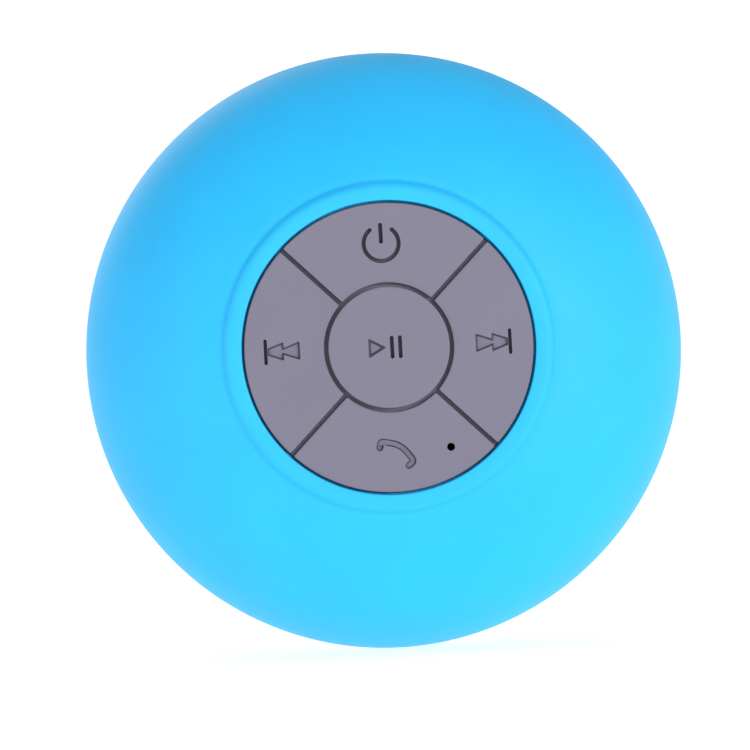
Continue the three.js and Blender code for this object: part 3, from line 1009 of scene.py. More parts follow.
def finish_tree(tree, instances, material_from):
    """Ends a tree: the copies become real mesh and take their material."""
    nodes, links = tree.nodes, tree.links
    realize = nodes.new("GeometryNodeRealizeInstances")
    paint = nodes.new("GeometryNodeSetMaterial")
    out = nodes.new("NodeGroupOutput")
    links.new(instances, realize.inputs[0])
    links.new(realize.outputs[0], paint.inputs["Geometry"])
    links.new(material_from, paint.inputs["Material"])
    links.new(paint.outputs[0], out.inputs[0])


def ring_tree():
    """Copies of a part evenly round the speaker's axis, each turned to face outwards."""
    tree = bpy.data.node_groups.new("ring_of_parts", "GeometryNodeTree")
    tree_inputs(
        tree,
        [
            ("Part", "NodeSocketObject"),
            ("Count", "NodeSocketInt"),
            ("Radius", "NodeSocketFloat"),
            ("First Angle", "NodeSocketFloat"),
            ("Depth", "NodeSocketFloat"),
            ("Material", "NodeSocketMaterial"),
        ],
    )
    nodes, links = tree.nodes, tree.links
    given = nodes.new("NodeGroupInput")
    ring = nodes.new("GeometryNodeMeshCircle")
    links.new(given.outputs["Count"], ring.inputs["Vertices"])
    links.new(given.outputs["Radius"], ring.inputs["Radius"])
    part = nodes.new("GeometryNodeObjectInfo")
    links.new(given.outputs["Part"], part.inputs["Object"])
    number = nodes.new("GeometryNodeInputIndex")
    share = nodes.new("ShaderNodeMath")
    share.operation = "DIVIDE"
    links.new(number.outputs[0], share.inputs[0])
    links.new(given.outputs["Count"], share.inputs[1])
    turn = nodes.new("ShaderNodeMath")
    turn.operation = "MULTIPLY"
    turn.inputs[1].default_value = 2 * math.pi
    links.new(share.outputs[0], turn.inputs[0])
    facing = nodes.new("ShaderNodeCombineXYZ")
    links.new(turn.outputs[0], facing.inputs["Z"])
    copies = nodes.new("GeometryNodeInstanceOnPoints")
    links.new(ring.outputs[0], copies.inputs["Points"])
    links.new(part.outputs["Geometry"], copies.inputs["Instance"])
    links.new(facing.outputs[0], copies.inputs["Rotation"])
    swing = nodes.new("ShaderNodeCombineXYZ")
    links.new(given.outputs["First Angle"], swing.inputs["Z"])
    swung = nodes.new("GeometryNodeTransform")
    links.new(copies.outputs[0], swung.inputs["Geometry"])
    links.new(swing.outputs[0], swung.inputs["Rotation"])
    stood = nodes.new("GeometryNodeTransform")
    stood.inputs["Rotation"].default_value = (math.pi / 2, 0, 0)
    links.new(swung.outputs[0], stood.inputs["Geometry"])
    minus = nodes.new("ShaderNodeMath")
    minus.operation = "MULTIPLY"
    minus.inputs[1].default_value = -1
    links.new(given.outputs["Depth"], minus.inputs[0])
    shift = nodes.new("ShaderNodeCombineXYZ")
    links.new(minus.outputs[0], shift.inputs["Y"])
    placed = nodes.new("GeometryNodeTransform")
    links.new(stood.outputs[0], placed.inputs["Geometry"])
    links.new(shift.outputs[0], placed.inputs["Translation"])
    finish_tree(tree, placed.outputs[0], given.outputs["Material"])
    return tree


def grown_by_nodes(name, tree, values, points=()):
    """Runs a tree on an empty mesh, or on points in (x, depth, z), and keeps the plain mesh."""
    seed = bpy.data.meshes.new(name)
    seed.from_pydata([(x * MM, -depth * MM, z * MM) for x, depth, z in points], [], [])
    piece = link(bpy.data.objects.new(name, seed))
    modifier = piece.modifiers.new("parts", "NODES")
    modifier.node_group = tree
    set_inputs(modifier, values)
    baked(piece)
    bpy.data.objects.remove(values["Part"])
    return piece


ring_of_parts = ring_tree()
rib = bmesh.new()
pitch = 2 * math.pi * (neck_radius + neck_inside) / 2 / rib_count
rib_width = pitch - slot_width
bmesh.ops.create_cube(rib, size=1)
for vertex in rib.verts:
    vertex.co = Vector(
        (
            vertex.co.x * (neck_radius - neck_inside - 0.1) * MM,
            vertex.co.y * rib_width * MM,
            vertex.co.z * (slot_high - slot_low + 0.3) * MM,
        )
    )
bmesh.ops.bevel(rib, geom=rib.edges[:], offset=0.2 * MM, segments=2, profile=0.5, affect="EDGES")
ribs = grown_by_nodes(
    "neck_ribs",
    ring_of_parts,
    {
        "Part": smooth_mesh(rib, "rib"),
        "Count": rib_count,
        "Radius": (neck_radius + neck_inside) / 2 * MM,
        "First Angle": math.pi / rib_count,
        "Depth": (slot_low + slot_high) / 2 * MM,
        "Material": grey_plastic,
    },
)
clad(ribs, grey_plastic, "grey_plastic", "speaker")

# ---------------------------------------------------------------- acoustic mesh
# Fine black woven cloth, water repellent, glued inside the neck behind the ribs so that
# sound gets out and splashes stay out.
liner_inside, liner_outside = 28.1, 28.5


def woven(name, colour, thread, roughness):
    """A plain weave round the axis: threads along it and round it, over and under."""
    made = bpy.data.materials.new(name)
    made.use_nodes = True
    nodes, links = made.node_tree.nodes, made.node_tree.links
    cloth = nodes["Principled BSDF"]
    cloth.inputs["Roughness"].default_value = roughness
    cloth.inputs["Sheen Weight"].default_value = 0.2
    place = nodes.new("ShaderNodeTexCoord")
    split = nodes.new("ShaderNodeSeparateXYZ")
    links.new(place.outputs["Object"], split.inputs[0])
    angle = nodes.new("ShaderNodeMath")
    angle.operation = "ARCTAN2"
    links.new(split.outputs["Z"], angle.inputs[0])
    links.new(split.outputs["X"], angle.inputs[1])

    def threads(source, scale):
        times = nodes.new("ShaderNodeMath")
        times.operation = "MULTIPLY"
        times.inputs[1].default_value = scale
        links.new(source, times.inputs[0])
        wave = nodes.new("ShaderNodeMath")
        wave.operation = "SINE"
        links.new(times.outputs[0], wave.inputs[0])
        return wave.outputs[0]

    round_axis = threads(angle.outputs[0], round(math.pi * (liner_inside + liner_outside) / thread))
    along_axis = threads(split.outputs["Y"], 2 * math.pi / (thread * MM))
    crossed = nodes.new("ShaderNodeMath")
    crossed.operation = "MULTIPLY"
    links.new(round_axis, crossed.inputs[0])
    links.new(along_axis, crossed.inputs[1])
    shades = nodes.new("ShaderNodeValToRGB")
    shades.color_ramp.elements[0].color = (*[c * 0.3 for c in colour], 1)
    shades.color_ramp.elements[1].color = (*colour, 1)
    level = nodes.new("ShaderNodeMapRange")
    level.inputs["From Min"].default_value = -1
    links.new(crossed.outputs[0], level.inputs["Value"])
    links.new(level.outputs["Result"], shades.inputs["Fac"])
    links.new(shades.outputs["Color"], cloth.inputs["Base Color"])
    bump = nodes.new("ShaderNodeBump")
    bump.inputs["Strength"].default_value = 0.8
    bump.inputs["Distance"].default_value = 0.04 * MM
    links.new(level.outputs["Result"], bump.inputs["Height"])
    links.new(bump.outputs["Normal"], cloth.inputs["Normal"])
    return made


mesh_cloth = woven("mesh_cloth", (0.03, 0.03, 0.036), 0.45, 0.8)
liner = turned(
    "mesh_liner",
    [(liner_inside, 11.3), (liner_outside, 11.3), (liner_outside, 17.3), (liner_inside, 17.3)],
    sides=120,
)
clad(liner, mesh_cloth, "mesh_cloth", "speaker", "acoustic_mesh")

# ---------------------------------------------------------------- housing seal
# A flat ring of black rubber, gripped between the rims of the two housings to keep water out.
black_rubber = moulded(
    "black_rubber", (0.02, 0.02, 0.021), 0.75, grain=0.2, relief=0.015, mottle=0.15
)
seal = turned(
    "flat_seal",
    filleted([(39, 25.5, 0.2), (40.7, 25.5, 0.2), (40.7, 26.1, 0.2), (39, 26.1, 0.2)], steps=3),
)
clad(seal, black_rubber, "black_rubber", "speaker", "housing_seal")

# ---------------------------------------------------------------- stud insert
# A threaded brass insert, pressed hot into the boss at the centre of the back: the cup's
# stud screws into it. M5 by 0.8.
thread_pitch = 0.8


def threaded(shape, root, crest, low, high, sides=48, rows_a_turn=10):
    """Adds a right-hand thread about the axis between two depths; its ends run out."""
    turns = (high - low) / thread_pitch
    rows = []
    for k in range(-rows_a_turn, int(turns * rows_a_turn) + 1):
        row = []
        phase = (k % rows_a_turn) / rows_a_turn
        lift = 1 - abs(2 * phase - 1)
        lift = min(1.0, max(0.0, 1.35 * lift - 0.15))
        for i in range(sides):
            share = i / sides
            depth = low + (k / rows_a_turn + share) * thread_pitch
            depth = min(high, max(low, depth))
            fade = min(1.0, (depth - low) / 0.6, (high - depth) / 0.6)
            radius = root + (crest - root) * lift * max(0.0, fade)
            turn = 2 * math.pi * share
            row.append(
                shape.verts.new(
                    (radius * math.cos(turn) * MM, -depth * MM, radius * math.sin(turn) * MM)
                )
            )
        rows.append(row)
    for one, two in zip(rows, rows[1:]):
        for i in range(sides - 1):
            shape.faces.new((one[i], one[i + 1], two[i + 1], two[i]))
    for k in range(len(rows) - rows_a_turn - 1):
        one, two = rows[k], rows[k + 1]
        one_up, two_up = rows[k + rows_a_turn], rows[k + 1 + rows_a_turn]
        shape.faces.new((one[-1], one_up[0], two_up[0], two[-1]))
    bmesh.ops.remove_doubles(shape, verts=shape.verts, dist=1e-7)
    bmesh.ops.dissolve_degenerate(shape, edges=shape.edges, dist=1e-7)


brass = moulded(
    "machined_brass",
    (0.75, 0.52, 0.2),
    0.3,
    grain=0.1,
    relief=0.004,
    mottle=0.06,
    metallic=1.0,
)
insert_profile = filleted(
    [
        (2.7, 9.4, 0.15),
        (4.0, 9.4, 0.2),
        (4.0, 12.0, 0.1),
        (3.7, 12.2, 0.1),
        (3.7, 13.0, 0.1),
        (4.0, 13.2, 0.1),
        (4.0, 15.8, 0.2),
        (2.7, 15.8, 0.15),
    ],
    steps=2,
)
insert = turned("brass_insert", insert_profile, sides=64)
clad(insert, brass, "brass", "speaker", "boss_insert")

# ---------------------------------------------------------------- housing screws
# Four zinc-plated self-tapping screws, cross-headed, driven from behind through the rear
# housing into the columns of the front one. The jacket's lip hides them.
plated_steel = moulded(
    "plated_steel",
    (0.62, 0.63, 0.66),
    0.32,
    grain=0.15,
    relief=0.003,
    mottle=0.05,
    metallic=1.0,
)


def cross_screw(head_radius, head_height, shaft_radius, length):
    """A pan-head screw with a cross recess. Its seat is at 0 and it points up its own Z."""
    shape = bmesh.new()
    profile = filleted(
        [
            (0, -head_height),
            (head_radius * 0.75, -head_height, 0.5),
            (head_radius, -head_height * 0.4, 0.4),
            (head_radius, 0, 0.08),
            (shaft_radius, 0, 0.1),
            (shaft_radius, 0.6),
        ],
        closed=False,
        steps=3,
    )
    depth = 0.6
    while depth < length - 1.2:
        profile += [(shaft_radius * 0.82, depth + 0.15), (shaft_radius * 0.82, depth + 0.3)]
        profile += [(shaft_radius, depth + 0.5)]
        depth += 0.55
    profile += [(shaft_radius * 0.8, length - 1.0), (0.2, length - 0.1), (0, length)]
    turn_into(shape, profile, 24)
    screw_piece = smooth_mesh(shape, "screw")
    cross = bmesh.new()
    arm, wide = head_radius * 0.55, head_radius * 0.17
    rounded_box(cross, (-arm, -head_height - 1, -wide), (arm, -head_height * 0.45, wide), 0)
    rounded_box(cross, (-wide, -head_height - 1, -arm), (wide, -head_height * 0.45, arm), 0)
    for vertex in cross.verts:
        if -vertex.co.y > -head_height * 0.6 * MM:
            vertex.co.x *= 0.5
            vertex.co.z *= 0.5
    cut_away(screw_piece, smooth_mesh(cross, "driver_cross"))
    screw_piece.data.transform(Matrix.Rotation(-math.pi / 2, 4, "X"))
    return screw_piece


housing_screws = grown_by_nodes(
    "housing_screws",
    ring_of_parts,
    {
        "Part": cross_screw(2.0, 1.5, 1.05, 11),
        "Count": 4,
        "Radius": screw_circle * MM,
        "First Angle": math.pi / 4,
        "Depth": 20.1 * MM,
        "Material": plated_steel,
    },
)
clad(
    housing_screws,
    plated_steel,
    "steel",
    "speaker",
    *[f"housing_screw_{i}" for i in range(1, 5)],
)

# ---------------------------------------------------------------- main board
# The round circuit board behind the keys: green solder mask over copper tracks, held to the
# front housing's posts by three small screws, with its parts soldered on both faces.
board_back, board_front, board_radius = 45.4, 46.6, 23.0


def board_mask(name, colour, track):
    """Solder mask: faint lighter lines, straight or slanted, where copper tracks run under it."""
    made = moulded(name, colour, 0.35, grain=0.3, relief=0.004, mottle=0.08, coat=0.3)
    nodes, links = made.node_tree.nodes, made.node_tree.links
    place = next(n for n in nodes if n.type == "TEX_COORD")
    flattened = nodes.new("ShaderNodeMapping")
    flattened.inputs["Scale"].default_value = (1, 0, 1)
    links.new(place.outputs["Object"], flattened.inputs["Vector"])
    between = nodes.new("ShaderNodeMath")
    between.operation = "SUBTRACT"
    for feature, end in (("F2", 0), ("F1", 1)):
        cells = nodes.new("ShaderNodeTexVoronoi")
        cells.feature = feature
        cells.distance = "MANHATTAN"
        cells.inputs["Scale"].default_value = 420
        links.new(flattened.outputs["Vector"], cells.inputs["Vector"])
        links.new(cells.outputs["Distance"], between.inputs[end])
    tracks = nodes.new("ShaderNodeValToRGB")
    tracks.color_ramp.elements[0].position = 0.07
    tracks.color_ramp.elements[0].color = (*track, 1)
    tracks.color_ramp.elements[1].position = 0.11
    tracks.color_ramp.elements[1].color = (*colour, 1)
    links.new(between.outputs["Value"], tracks.inputs["Fac"])
    links.new(tracks.outputs["Color"], nodes["Principled BSDF"].inputs["Base Color"])
    return made


board_green = board_mask("board_green", (0.012, 0.12, 0.045), (0.025, 0.2, 0.075))
board = turned(
    "round_board",
    filleted(
        [
            (0, board_back),
            (board_radius - 0.5, board_back),
            (board_radius, board_back, 0.15),
            (board_radius, board_front, 0.15),
            (board_radius - 0.5, board_front),
            (0, board_front),
        ],
        False,
    ),
    sides=120,
)
drill(board, [(*on_face(board_circle, a), 1.15, 45, 47) for a in board_angles])
clad(board, board_green, "board_green", "speaker", "main_board")


def placed_tree():
    """Copies of a part at given points."""
    tree = bpy.data.node_groups.new("parts_at_points", "GeometryNodeTree")
    tree_inputs(
        tree,
        [
            ("Places", "NodeSocketGeometry"),
            ("Part", "NodeSocketObject"),
            ("Material", "NodeSocketMaterial"),
        ],
    )
    nodes, links = tree.nodes, tree.links
    given = nodes.new("NodeGroupInput")
    part = nodes.new("GeometryNodeObjectInfo")
    links.new(given.outputs["Part"], part.inputs["Object"])
    copies = nodes.new("GeometryNodeInstanceOnPoints")
    links.new(given.outputs["Places"], copies.inputs["Points"])
    links.new(part.outputs["Geometry"], copies.inputs["Instance"])
    finish_tree(tree, copies.outputs[0], given.outputs["Material"])
    return tree


parts_at_points = placed_tree()


def at_points(name, part, points, material, slot, body, *nodes):
    """One piece made of copies of a part at (x, depth, z) points."""
    piece = grown_by_nodes(
        name, parts_at_points, {"Part": part, "Material": material}, points
    )
    return clad(piece, material, slot, body, *nodes)


def small_block(name, width, deep, high, edge, steps=2):
    """A rounded block about its own centre, for copying."""
    shape = bmesh.new()
    low = (-width / 2, -deep / 2, -high / 2)
    rounded_box(shape, low, (width / 2, deep / 2, high / 2), edge, steps)
    return smooth_mesh(shape, name)


board_screw = cross_screw(1.7, 1.2, 0.8, 4.8)
board_screw.data.transform(Matrix.Rotation(math.pi / 2, 4, "X"))
board_holes = [on_face(board_circle, a) for a in board_angles]
at_points(
    "board_screws",
    board_screw,
    [(x, board_back - 0.1, z) for x, z in board_holes],
    plated_steel,
    "steel",
    "speaker",
    *[f"board_screw_{i}" for i in range(1, 4)],
)

solder = moulded(
    "solder", (0.75, 0.76, 0.78), 0.25, grain=0.2, relief=0.01, mottle=0.08, metallic=1.0
)
chip_black = moulded(
    "chip_black", (0.022, 0.022, 0.024), 0.45, grain=0.08, relief=0.006, mottle=0.1
)
resistor_rows = [
    (x, board_back - 0.2, z)
    for z in (-14.6, -17.0, 13.6, 19.4)
    for x in (-6.0, -3.8, -1.6, 0.6, 3.2)
    if math.hypot(x, z) < 20.5 and (z < 0 or abs(x) > 3.4)
]
at_points(
    "chip_resistors",
    small_block("resistor", 1.2, 0.4, 0.6, 0.08),
    resistor_rows,
    chip_black,
    "chip_black",
    "speaker",
)
at_points(
    "resistor_ends",
    small_block("resistor_end", 0.3, 0.44, 0.66, 0.06),
    [(x + side * 0.62, depth, z) for x, depth, z in resistor_rows for side in (-1, 1)],
    solder,
    "steel",
    "speaker",
)

# ---------------------------------------------------------------- key switches
# Five tact switches under the keys, each a tinned can soldered to the board by four legs,
# and the black plunger that stands in it and moves with its key.
switch_back, switch_height = board_front + 0.1, 2.4
can = bmesh.new()
rounded_box(can, (-3, 0, -3), (3, switch_height, 3), 0.25, 3)
can = smooth_mesh(can, "switch_can")
drill(can, [(0, 0, 1.95, 0.3, 3)])
at_points(
    "switch_cans",
    can,
    [(x, switch_back, z) for x, z in spots],
    plated_steel,
    "steel",
    "speaker",
    *[f"switch_{name}" for name in keys],
)
at_points(
    "switch_legs",
    small_block("switch_leg", 0.9, 0.3, 0.7, 0.08),
    [
        (x + side * 3.3, board_front + 0.2, z + row * 2.2)
        for x, z in spots
        for side in (-1, 1)
        for row in (-1, 1)
    ],
    solder,
    "steel",
    "speaker",
)
plunger_back = switch_back + 0.3 + 0.35 + 0.1
for name, (_, _, _, spot) in keys.items():
    plunger_line = filleted(
        [
            (0, plunger_back),
            (1.6, plunger_back, 0.15),
            (1.6, 49.9, 0.1),
            (1.3, 50.1, 0.1),
            (1.3, nub_back, 0.2),
            (0, nub_back),
        ],
        False,
        steps=3,
    )
    plunger = turned(f"{name}_plunger", plunger_line, 40, x=spot[0], z=spot[1])
    clad(plunger, chip_black, "chip_black", f"{name}_key", f"plunger_{name}")

# ---------------------------------------------------------------- microphone and light
# A small canned microphone with a rubber boot that seals it to the sound hole, and a clear
# status light between two switches.
mic_line = filleted(
    [(0, 46.7), (2, 46.7, 0.1), (2, 48.2, 0.3), (1.2, 48.2, 0.1), (1.1, 48.05, 0.05), (0, 48.05)],
    False,
    steps=3,
)
mic = turned("microphone_can", mic_line, 48, x=mic_spot[0], z=mic_spot[1])
clad(mic, plated_steel, "steel", "speaker", "microphone")
felt_line = [(0, 48.06), (1.05, 48.06), (1.05, 48.18), (0, 48.18)]
felt = turned("microphone_felt", felt_line, 32, x=mic_spot[0], z=mic_spot[1])
black_felt = moulded("black_felt", (0.012, 0.012, 0.014), 0.98, grain=0.2, relief=0.08, mottle=0.2)
clad(felt, black_felt, "black_rubber", "speaker")
boot_line = filleted(
    [
        (0.7, 48.3, 0.1),
        (2.2, 48.3, 0.15),
        (2.2, 49.1, 0.2),
        (1.4, 49.1, 0.2),
        (1.4, 51.9, 0.2),
        (0.7, 51.9, 0.1),
    ],
    steps=3,
)
boot = turned("microphone_boot", boot_line, 48, x=mic_spot[0], z=mic_spot[1])
clad(boot, black_rubber, "black_rubber", "speaker", "mic_boot")

lens = moulded(
    "led_lens", (0.75, 0.85, 0.95), 0.12, grain=0.3, relief=0.002, mottle=0.03, gloss_change=0.03
)
led = bmesh.new()
x, z = led_spot
rounded_box(led, (x - 0.8, 46.7, z - 0.4), (x + 0.8, 47.05, z + 0.4), 0.08, 2)
rounded_box(led, (x - 0.5, 47.0, z - 0.35), (x + 0.5, 47.5, z + 0.35), 0.15, 3)
clad(smooth_mesh(led, "status_light"), lens, "led_lens", "speaker", "status_led")

# ---------------------------------------------------------------- chips
# The radio and amplifier chips and the supply capacitor, on the back of the board, each
# with tinned legs.
for name, node, edge in (
    ("radio_chip", "bluetooth_chip", 0.12),
    ("amplifier", "amplifier_chip", 0.2),
):
    low, high = (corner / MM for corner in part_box(node))
    body = bmesh.new()
    rounded_box(body, (low.x, -high.y, low.z), (high.x, -low.y, high.z), edge, 3)
    turn_into(
        body,
        [(0, -high.y - 0.02), (0.35, -high.y - 0.02), (0.35, -high.y + 0.1), (0, -high.y + 0.1)],
        20,
        low.x + 0.9,
        high.z - 0.9,
    )
    clad(smooth_mesh(body, name), chip_black, "chip_black", "speaker", node)
low, high = (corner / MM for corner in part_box("amplifier_chip"))
at_points(
    "amplifier_legs",
    small_block("chip_leg", 0.35, 0.18, 0.7, 0.04),
    [
        (low.x + 0.6 + 0.93 * k, board_back - 0.12, z)
        for k in range(4)
        for z in (low.z - 0.3, high.z + 0.3)
    ],
    solder,
    "steel",
    "speaker",
)
low, high = (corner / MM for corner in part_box("bluetooth_chip"))
at_points(
    "radio_pads",
    small_block("radio_pad", 0.3, 0.16, 0.5, 0.03),
    [
        (low.x + 0.65 + 0.95 * k, board_back - 0.1, z)
        for k in range(6)
        for z in (low.z - 0.15, high.z + 0.15)
    ],
    solder,
    "steel",
    "speaker",
)
foil_silver = moulded(
    "foil_silver", (0.6, 0.61, 0.63), 0.38, grain=0.5, relief=0.02, mottle=0.06, metallic=0.8
)
low, high = (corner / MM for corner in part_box("supply_capacitor"))
middle_x, middle_z = (low.x + high.x) / 2, (low.z + high.z) / 2
capacitor_radius = (high.x - low.x) / 2
capacitor_line = filleted(
    [
        (0, -high.y + 0.1),
        (capacitor_radius * 0.8, -high.y + 0.1, 0.1),
        (capacitor_radius * 0.85, -high.y, 0.1),
        (capacitor_radius, -high.y, 0.3),
        (capacitor_radius, -low.y - 1.1, 0.15),
        (capacitor_radius - 0.2, -low.y - 0.85, 0.15),
        (capacitor_radius, -low.y - 0.6, 0.15),
        (capacitor_radius, -low.y, 0.15),
        (0, -low.y),
    ],
    False,
    steps=3,
)
capacitor = turned("capacitor_can", capacitor_line, 48, x=middle_x, z=middle_z)
clad(capacitor, foil_silver, "foil_silver", "speaker", "supply_capacitor")

# ---------------------------------------------------------------- battery
# A flat pouch cell in crinkled silver foil with folded edges and a band of amber tape, on a
# pad of white foam against the board.
battery_low, battery_high = (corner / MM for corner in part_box("battery"))
pouch = bmesh.new()
near, far = -battery_high.y, -battery_low.y
rounded_box(
    pouch,
    (battery_low.x + 0.8, near, battery_low.z),
    (battery_high.x - 1.6, far, battery_high.z),
    1.1,
    5,
)
rounded_box(
    pouch,
    (battery_low.x, (near + far) / 2 - 0.2, battery_low.z + 0.8),
    (battery_low.x + 3, (near + far) / 2 + 0.2, battery_high.z - 0.8),
    0.15,
    2,
)
pouch = smooth_mesh(pouch, "pouch_cell")
crinkled = moulded(
    "pouch_foil", (0.62, 0.63, 0.65), 0.3, grain=1.4, relief=0.12, mottle=0.05, metallic=0.8
)
clad(pouch, crinkled, "foil_silver", "speaker", "battery")
amber_tape = moulded(
    "amber_tape", (0.55, 0.26, 0.03), 0.25, grain=0.8, relief=0.02, mottle=0.08, coat=0.4
)
tape = bmesh.new()
rounded_box(
    tape,
    (battery_high.x - 3.6, near - 0.02, battery_low.z + 0.3),
    (battery_high.x, far + 0.02, battery_high.z - 0.3),
    0.9,
    4,
)
clad(smooth_mesh(tape, "cell_tape"), amber_tape, "foil_silver", "speaker")
foam_white = moulded(
    "foam_white", (0.75, 0.73, 0.69), 0.95, grain=0.35, relief=0.12, mottle=0.06
)
low, high = (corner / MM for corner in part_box("battery_pad"))
pad = bmesh.new()
rounded_box(pad, (low.x, -high.y, low.z), (high.x, -low.y, high.z), 0.2, 2)
clad(smooth_mesh(pad, "foam_pad"), foam_white, "foam_white", "speaker", "battery_pad")

# ---------------------------------------------------------------- leads
# Thin stranded wires in smooth coloured insulation, soldered at both ends: two from the
# battery and two from the driver, up to the board. They lie inside, and don't hang free.
def wire(name, route, thickness, material, slot, node, flat=None):
    """A lead along (x, depth, z) points, round, or a ribbon of a given half width."""
    curve = bpy.data.curves.new(name, "CURVE")
    curve.dimensions = "3D"
    line = curve.splines.new("NURBS")
    line.points.add(len(route) - 1)
    for point, (x, depth, z) in zip(line.points, route):
        point.co = (x * MM, -depth * MM, z * MM, 1)
    line.use_endpoint_u = True
    line.order_u = 4
    line.resolution_u = 8
    curve.use_fill_caps = True
    if flat:
        section = bpy.data.curves.new(f"{name}_section", "CURVE")
        section.dimensions = "2D"
        edge = section.splines.new("POLY")
        corners = [(-flat, -thickness), (flat, -thickness), (flat, thickness), (-flat, thickness)]
        corners = filleted([(a, b, 0.1) for a, b in corners], steps=2)
        edge.points.add(len(corners) - 1)
        for point, (a, b) in zip(edge.points, corners):
            point.co = (a * MM, b * MM, 0, 1)
        edge.use_cyclic_u = True
        section_object = link(bpy.data.objects.new(f"{name}_section", section))
        curve.bevel_mode = "OBJECT"
        curve.bevel_object = section_object
    else:
        curve.bevel_depth = thickness * MM
        curve.bevel_resolution = 4
    source = link(bpy.data.objects.new(name, curve))
    bpy.context.view_layer.update()
    data = bpy.data.meshes.new_from_object(
        source.evaluated_get(bpy.context.evaluated_depsgraph_get())
    )
    bpy.data.objects.remove(source)
    if flat:
        bpy.data.objects.remove(section_object)
    shape = bmesh.new()
    shape.from_mesh(data)
    bmesh.ops.remove_doubles(shape, verts=shape.verts, dist=1e-7)
    piece = smooth_mesh(shape, name, 50)
    return clad(piece, material, slot, "speaker", node)


red_wire = moulded(
    "red_insulation", (0.5, 0.02, 0.015), 0.35, grain=0.5, relief=0.004, mottle=0.06, coat=0.2
)
black_wire = moulded(
    "black_insulation", (0.02, 0.02, 0.022), 0.35, grain=0.5, relief=0.004, mottle=0.1, coat=0.2
)


def battery_route(z):
    """From a tab of the battery, forward and round to the back of the board."""
    return [(18.1, 42.2, z), (19.6, 42.0, z * 1.1), (20.9, 43.0, z * 1.3), (21.0, 44.9, z * 1.4)]


def speaker_route(z):
    """From the basket's flange, out past the magnet and forward to the back of the board."""
    return [
        (-24.9, 22.4, z),
        (-25.3, 27.0, z),
        (-26.6, 34.0, z),
        (-23.8, 41.0, z),
        (-21.0, 43.4, z),
        (-20.8, 44.9, z),
    ]


wire("battery_wire_red", battery_route(3), 0.5, red_wire, "red_wire", "battery_lead_plus")
wire("battery_wire_black", battery_route(-3), 0.5, black_wire, "black_wire", "battery_lead_minus")
wire("driver_wire_red", speaker_route(3), 0.5, red_wire, "red_wire", "speaker_lead_plus")
wire("driver_wire_black", speaker_route(-3), 0.5, black_wire, "black_wire", "speaker_lead_minus")

# ---------------------------------------------------------------- charging port
# A small board on two pegs, with a folded steel socket whose mouth looks down through the
# housing's window, a black tongue with five contacts, and a flat cable up to the main board.
low, high = (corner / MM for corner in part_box("charge_board"))
charge_board = bmesh.new()
rounded_box(charge_board, (low.x, -high.y, low.z), (high.x, -low.y, high.z), 0.15, 2)
clad(smooth_mesh(charge_board, "small_board"), board_green, "board_green", "speaker", "charge_board")

low, high = (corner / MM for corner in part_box("usb_shell"))
shell_w, shell_h = (high.x - low.x) / 2, (high.y - low.y) / 2
mouth, rear_end = -low.z, -high.z


def socket_ring(shrink, reach):
    """The socket's outline, narrower on one side, at a distance below the axis."""
    corners = [
        (-shell_w + shrink + 0.7, -shell_h + shrink, 0.3),
        (shell_w - shrink - 0.7, -shell_h + shrink, 0.3),
        (shell_w - shrink, -0.1, 0.5),
        (shell_w - shrink, shell_h - shrink, 0.5),
        (-shell_w + shrink, shell_h - shrink, 0.5),
        (-shell_w + shrink, -0.1, 0.5),
    ]
    return [(a, port_depth + b, -reach) for a, b in filleted(corners, steps=3)]


socket = bmesh.new()
socket_rows = [
    socket_ring(0, rear_end),
    socket_ring(0, mouth - 0.1),
    socket_ring(0.08, mouth),
    socket_ring(0.22, mouth),
    socket_ring(0.3, mouth - 0.1),
    socket_ring(0.3, rear_end + 0.5),
]
socket_loops = [
    [socket.verts.new((a * MM, -b * MM, c * MM)) for a, b, c in row] for row in socket_rows
]
for one, two in zip(socket_loops, socket_loops[1:]):
    for i in range(len(one)):
        j = (i + 1) % len(one)
        socket.faces.new((one[i], one[j], two[j], two[i]))
socket.faces.new(list(reversed(socket_loops[0])))
socket.faces.new(socket_loops[-1])
clad(smooth_mesh(socket, "socket_shell"), plated_steel, "steel", "speaker", "usb_shell")

low, high = (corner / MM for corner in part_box("usb_tongue"))
tongue = bmesh.new()
rounded_box(tongue, (low.x, -high.y, low.z), (high.x, -low.y, high.z), 0.12, 2)
clad(smooth_mesh(tongue, "socket_tongue"), chip_black, "chip_black", "speaker", "usb_tongue")
gold = moulded(
    "gold_contact", (0.9, 0.65, 0.25), 0.25, grain=0.2, relief=0.003, mottle=0.03, metallic=1.0
)
at_points(
    "socket_contacts",
    small_block("contact", 0.35, 0.12, 3.0, 0.03),
    [(k * 0.65, -high.y - 0.02, (low.z + high.z) / 2) for k in range(-2, 3)],
    gold,
    "brass",
    "speaker",
)
wire(
    "flat_cable",
    [(7, 25.0, -30), (7, 30, -31), (7, 37, -28), (7, 41.5, -21.5), (7, 44.2, -19.6)],
    0.35,
    black_wire,
    "black_wire",
    "charge_lead",
    flat=1.9,
)

# ---------------------------------------------------------------- driver
# A small full-range driver that fires backwards: a pressed steel basket bonded by its
# flange to the shelf, a ferrite magnet between steel plates, and a coated paper cone.
pressed_steel = moulded(
    "pressed_steel", (0.42, 0.43, 0.45), 0.4, grain=0.3, relief=0.006, mottle=0.06, metallic=0.9
)
basket = turned(
    "basket",
    filleted(
        [
            (22.6, 20.8, 0.15),
            (26.2, 20.8, 0.2),
            (26.2, 22.0, 0.2),
            (23.5, 22.0, 0.5),
            (16.2, 29.6, 0.6),
            (9.2, 29.6, 0.2),
            (9.2, 28.8, 0.2),
            (15.7, 28.8, 0.5),
            (22.6, 21.8, 0.4),
        ],
        steps=4,
    ),
    sides=144,
)
windows = bmesh.new()
for angle in (0, 90, 180, 270):
    x, z = on_face(21, angle)
    rounded_box(windows, (x - 5, 23.3, z - 5), (x + 5, 27.9, z + 5), 1.0, 4)
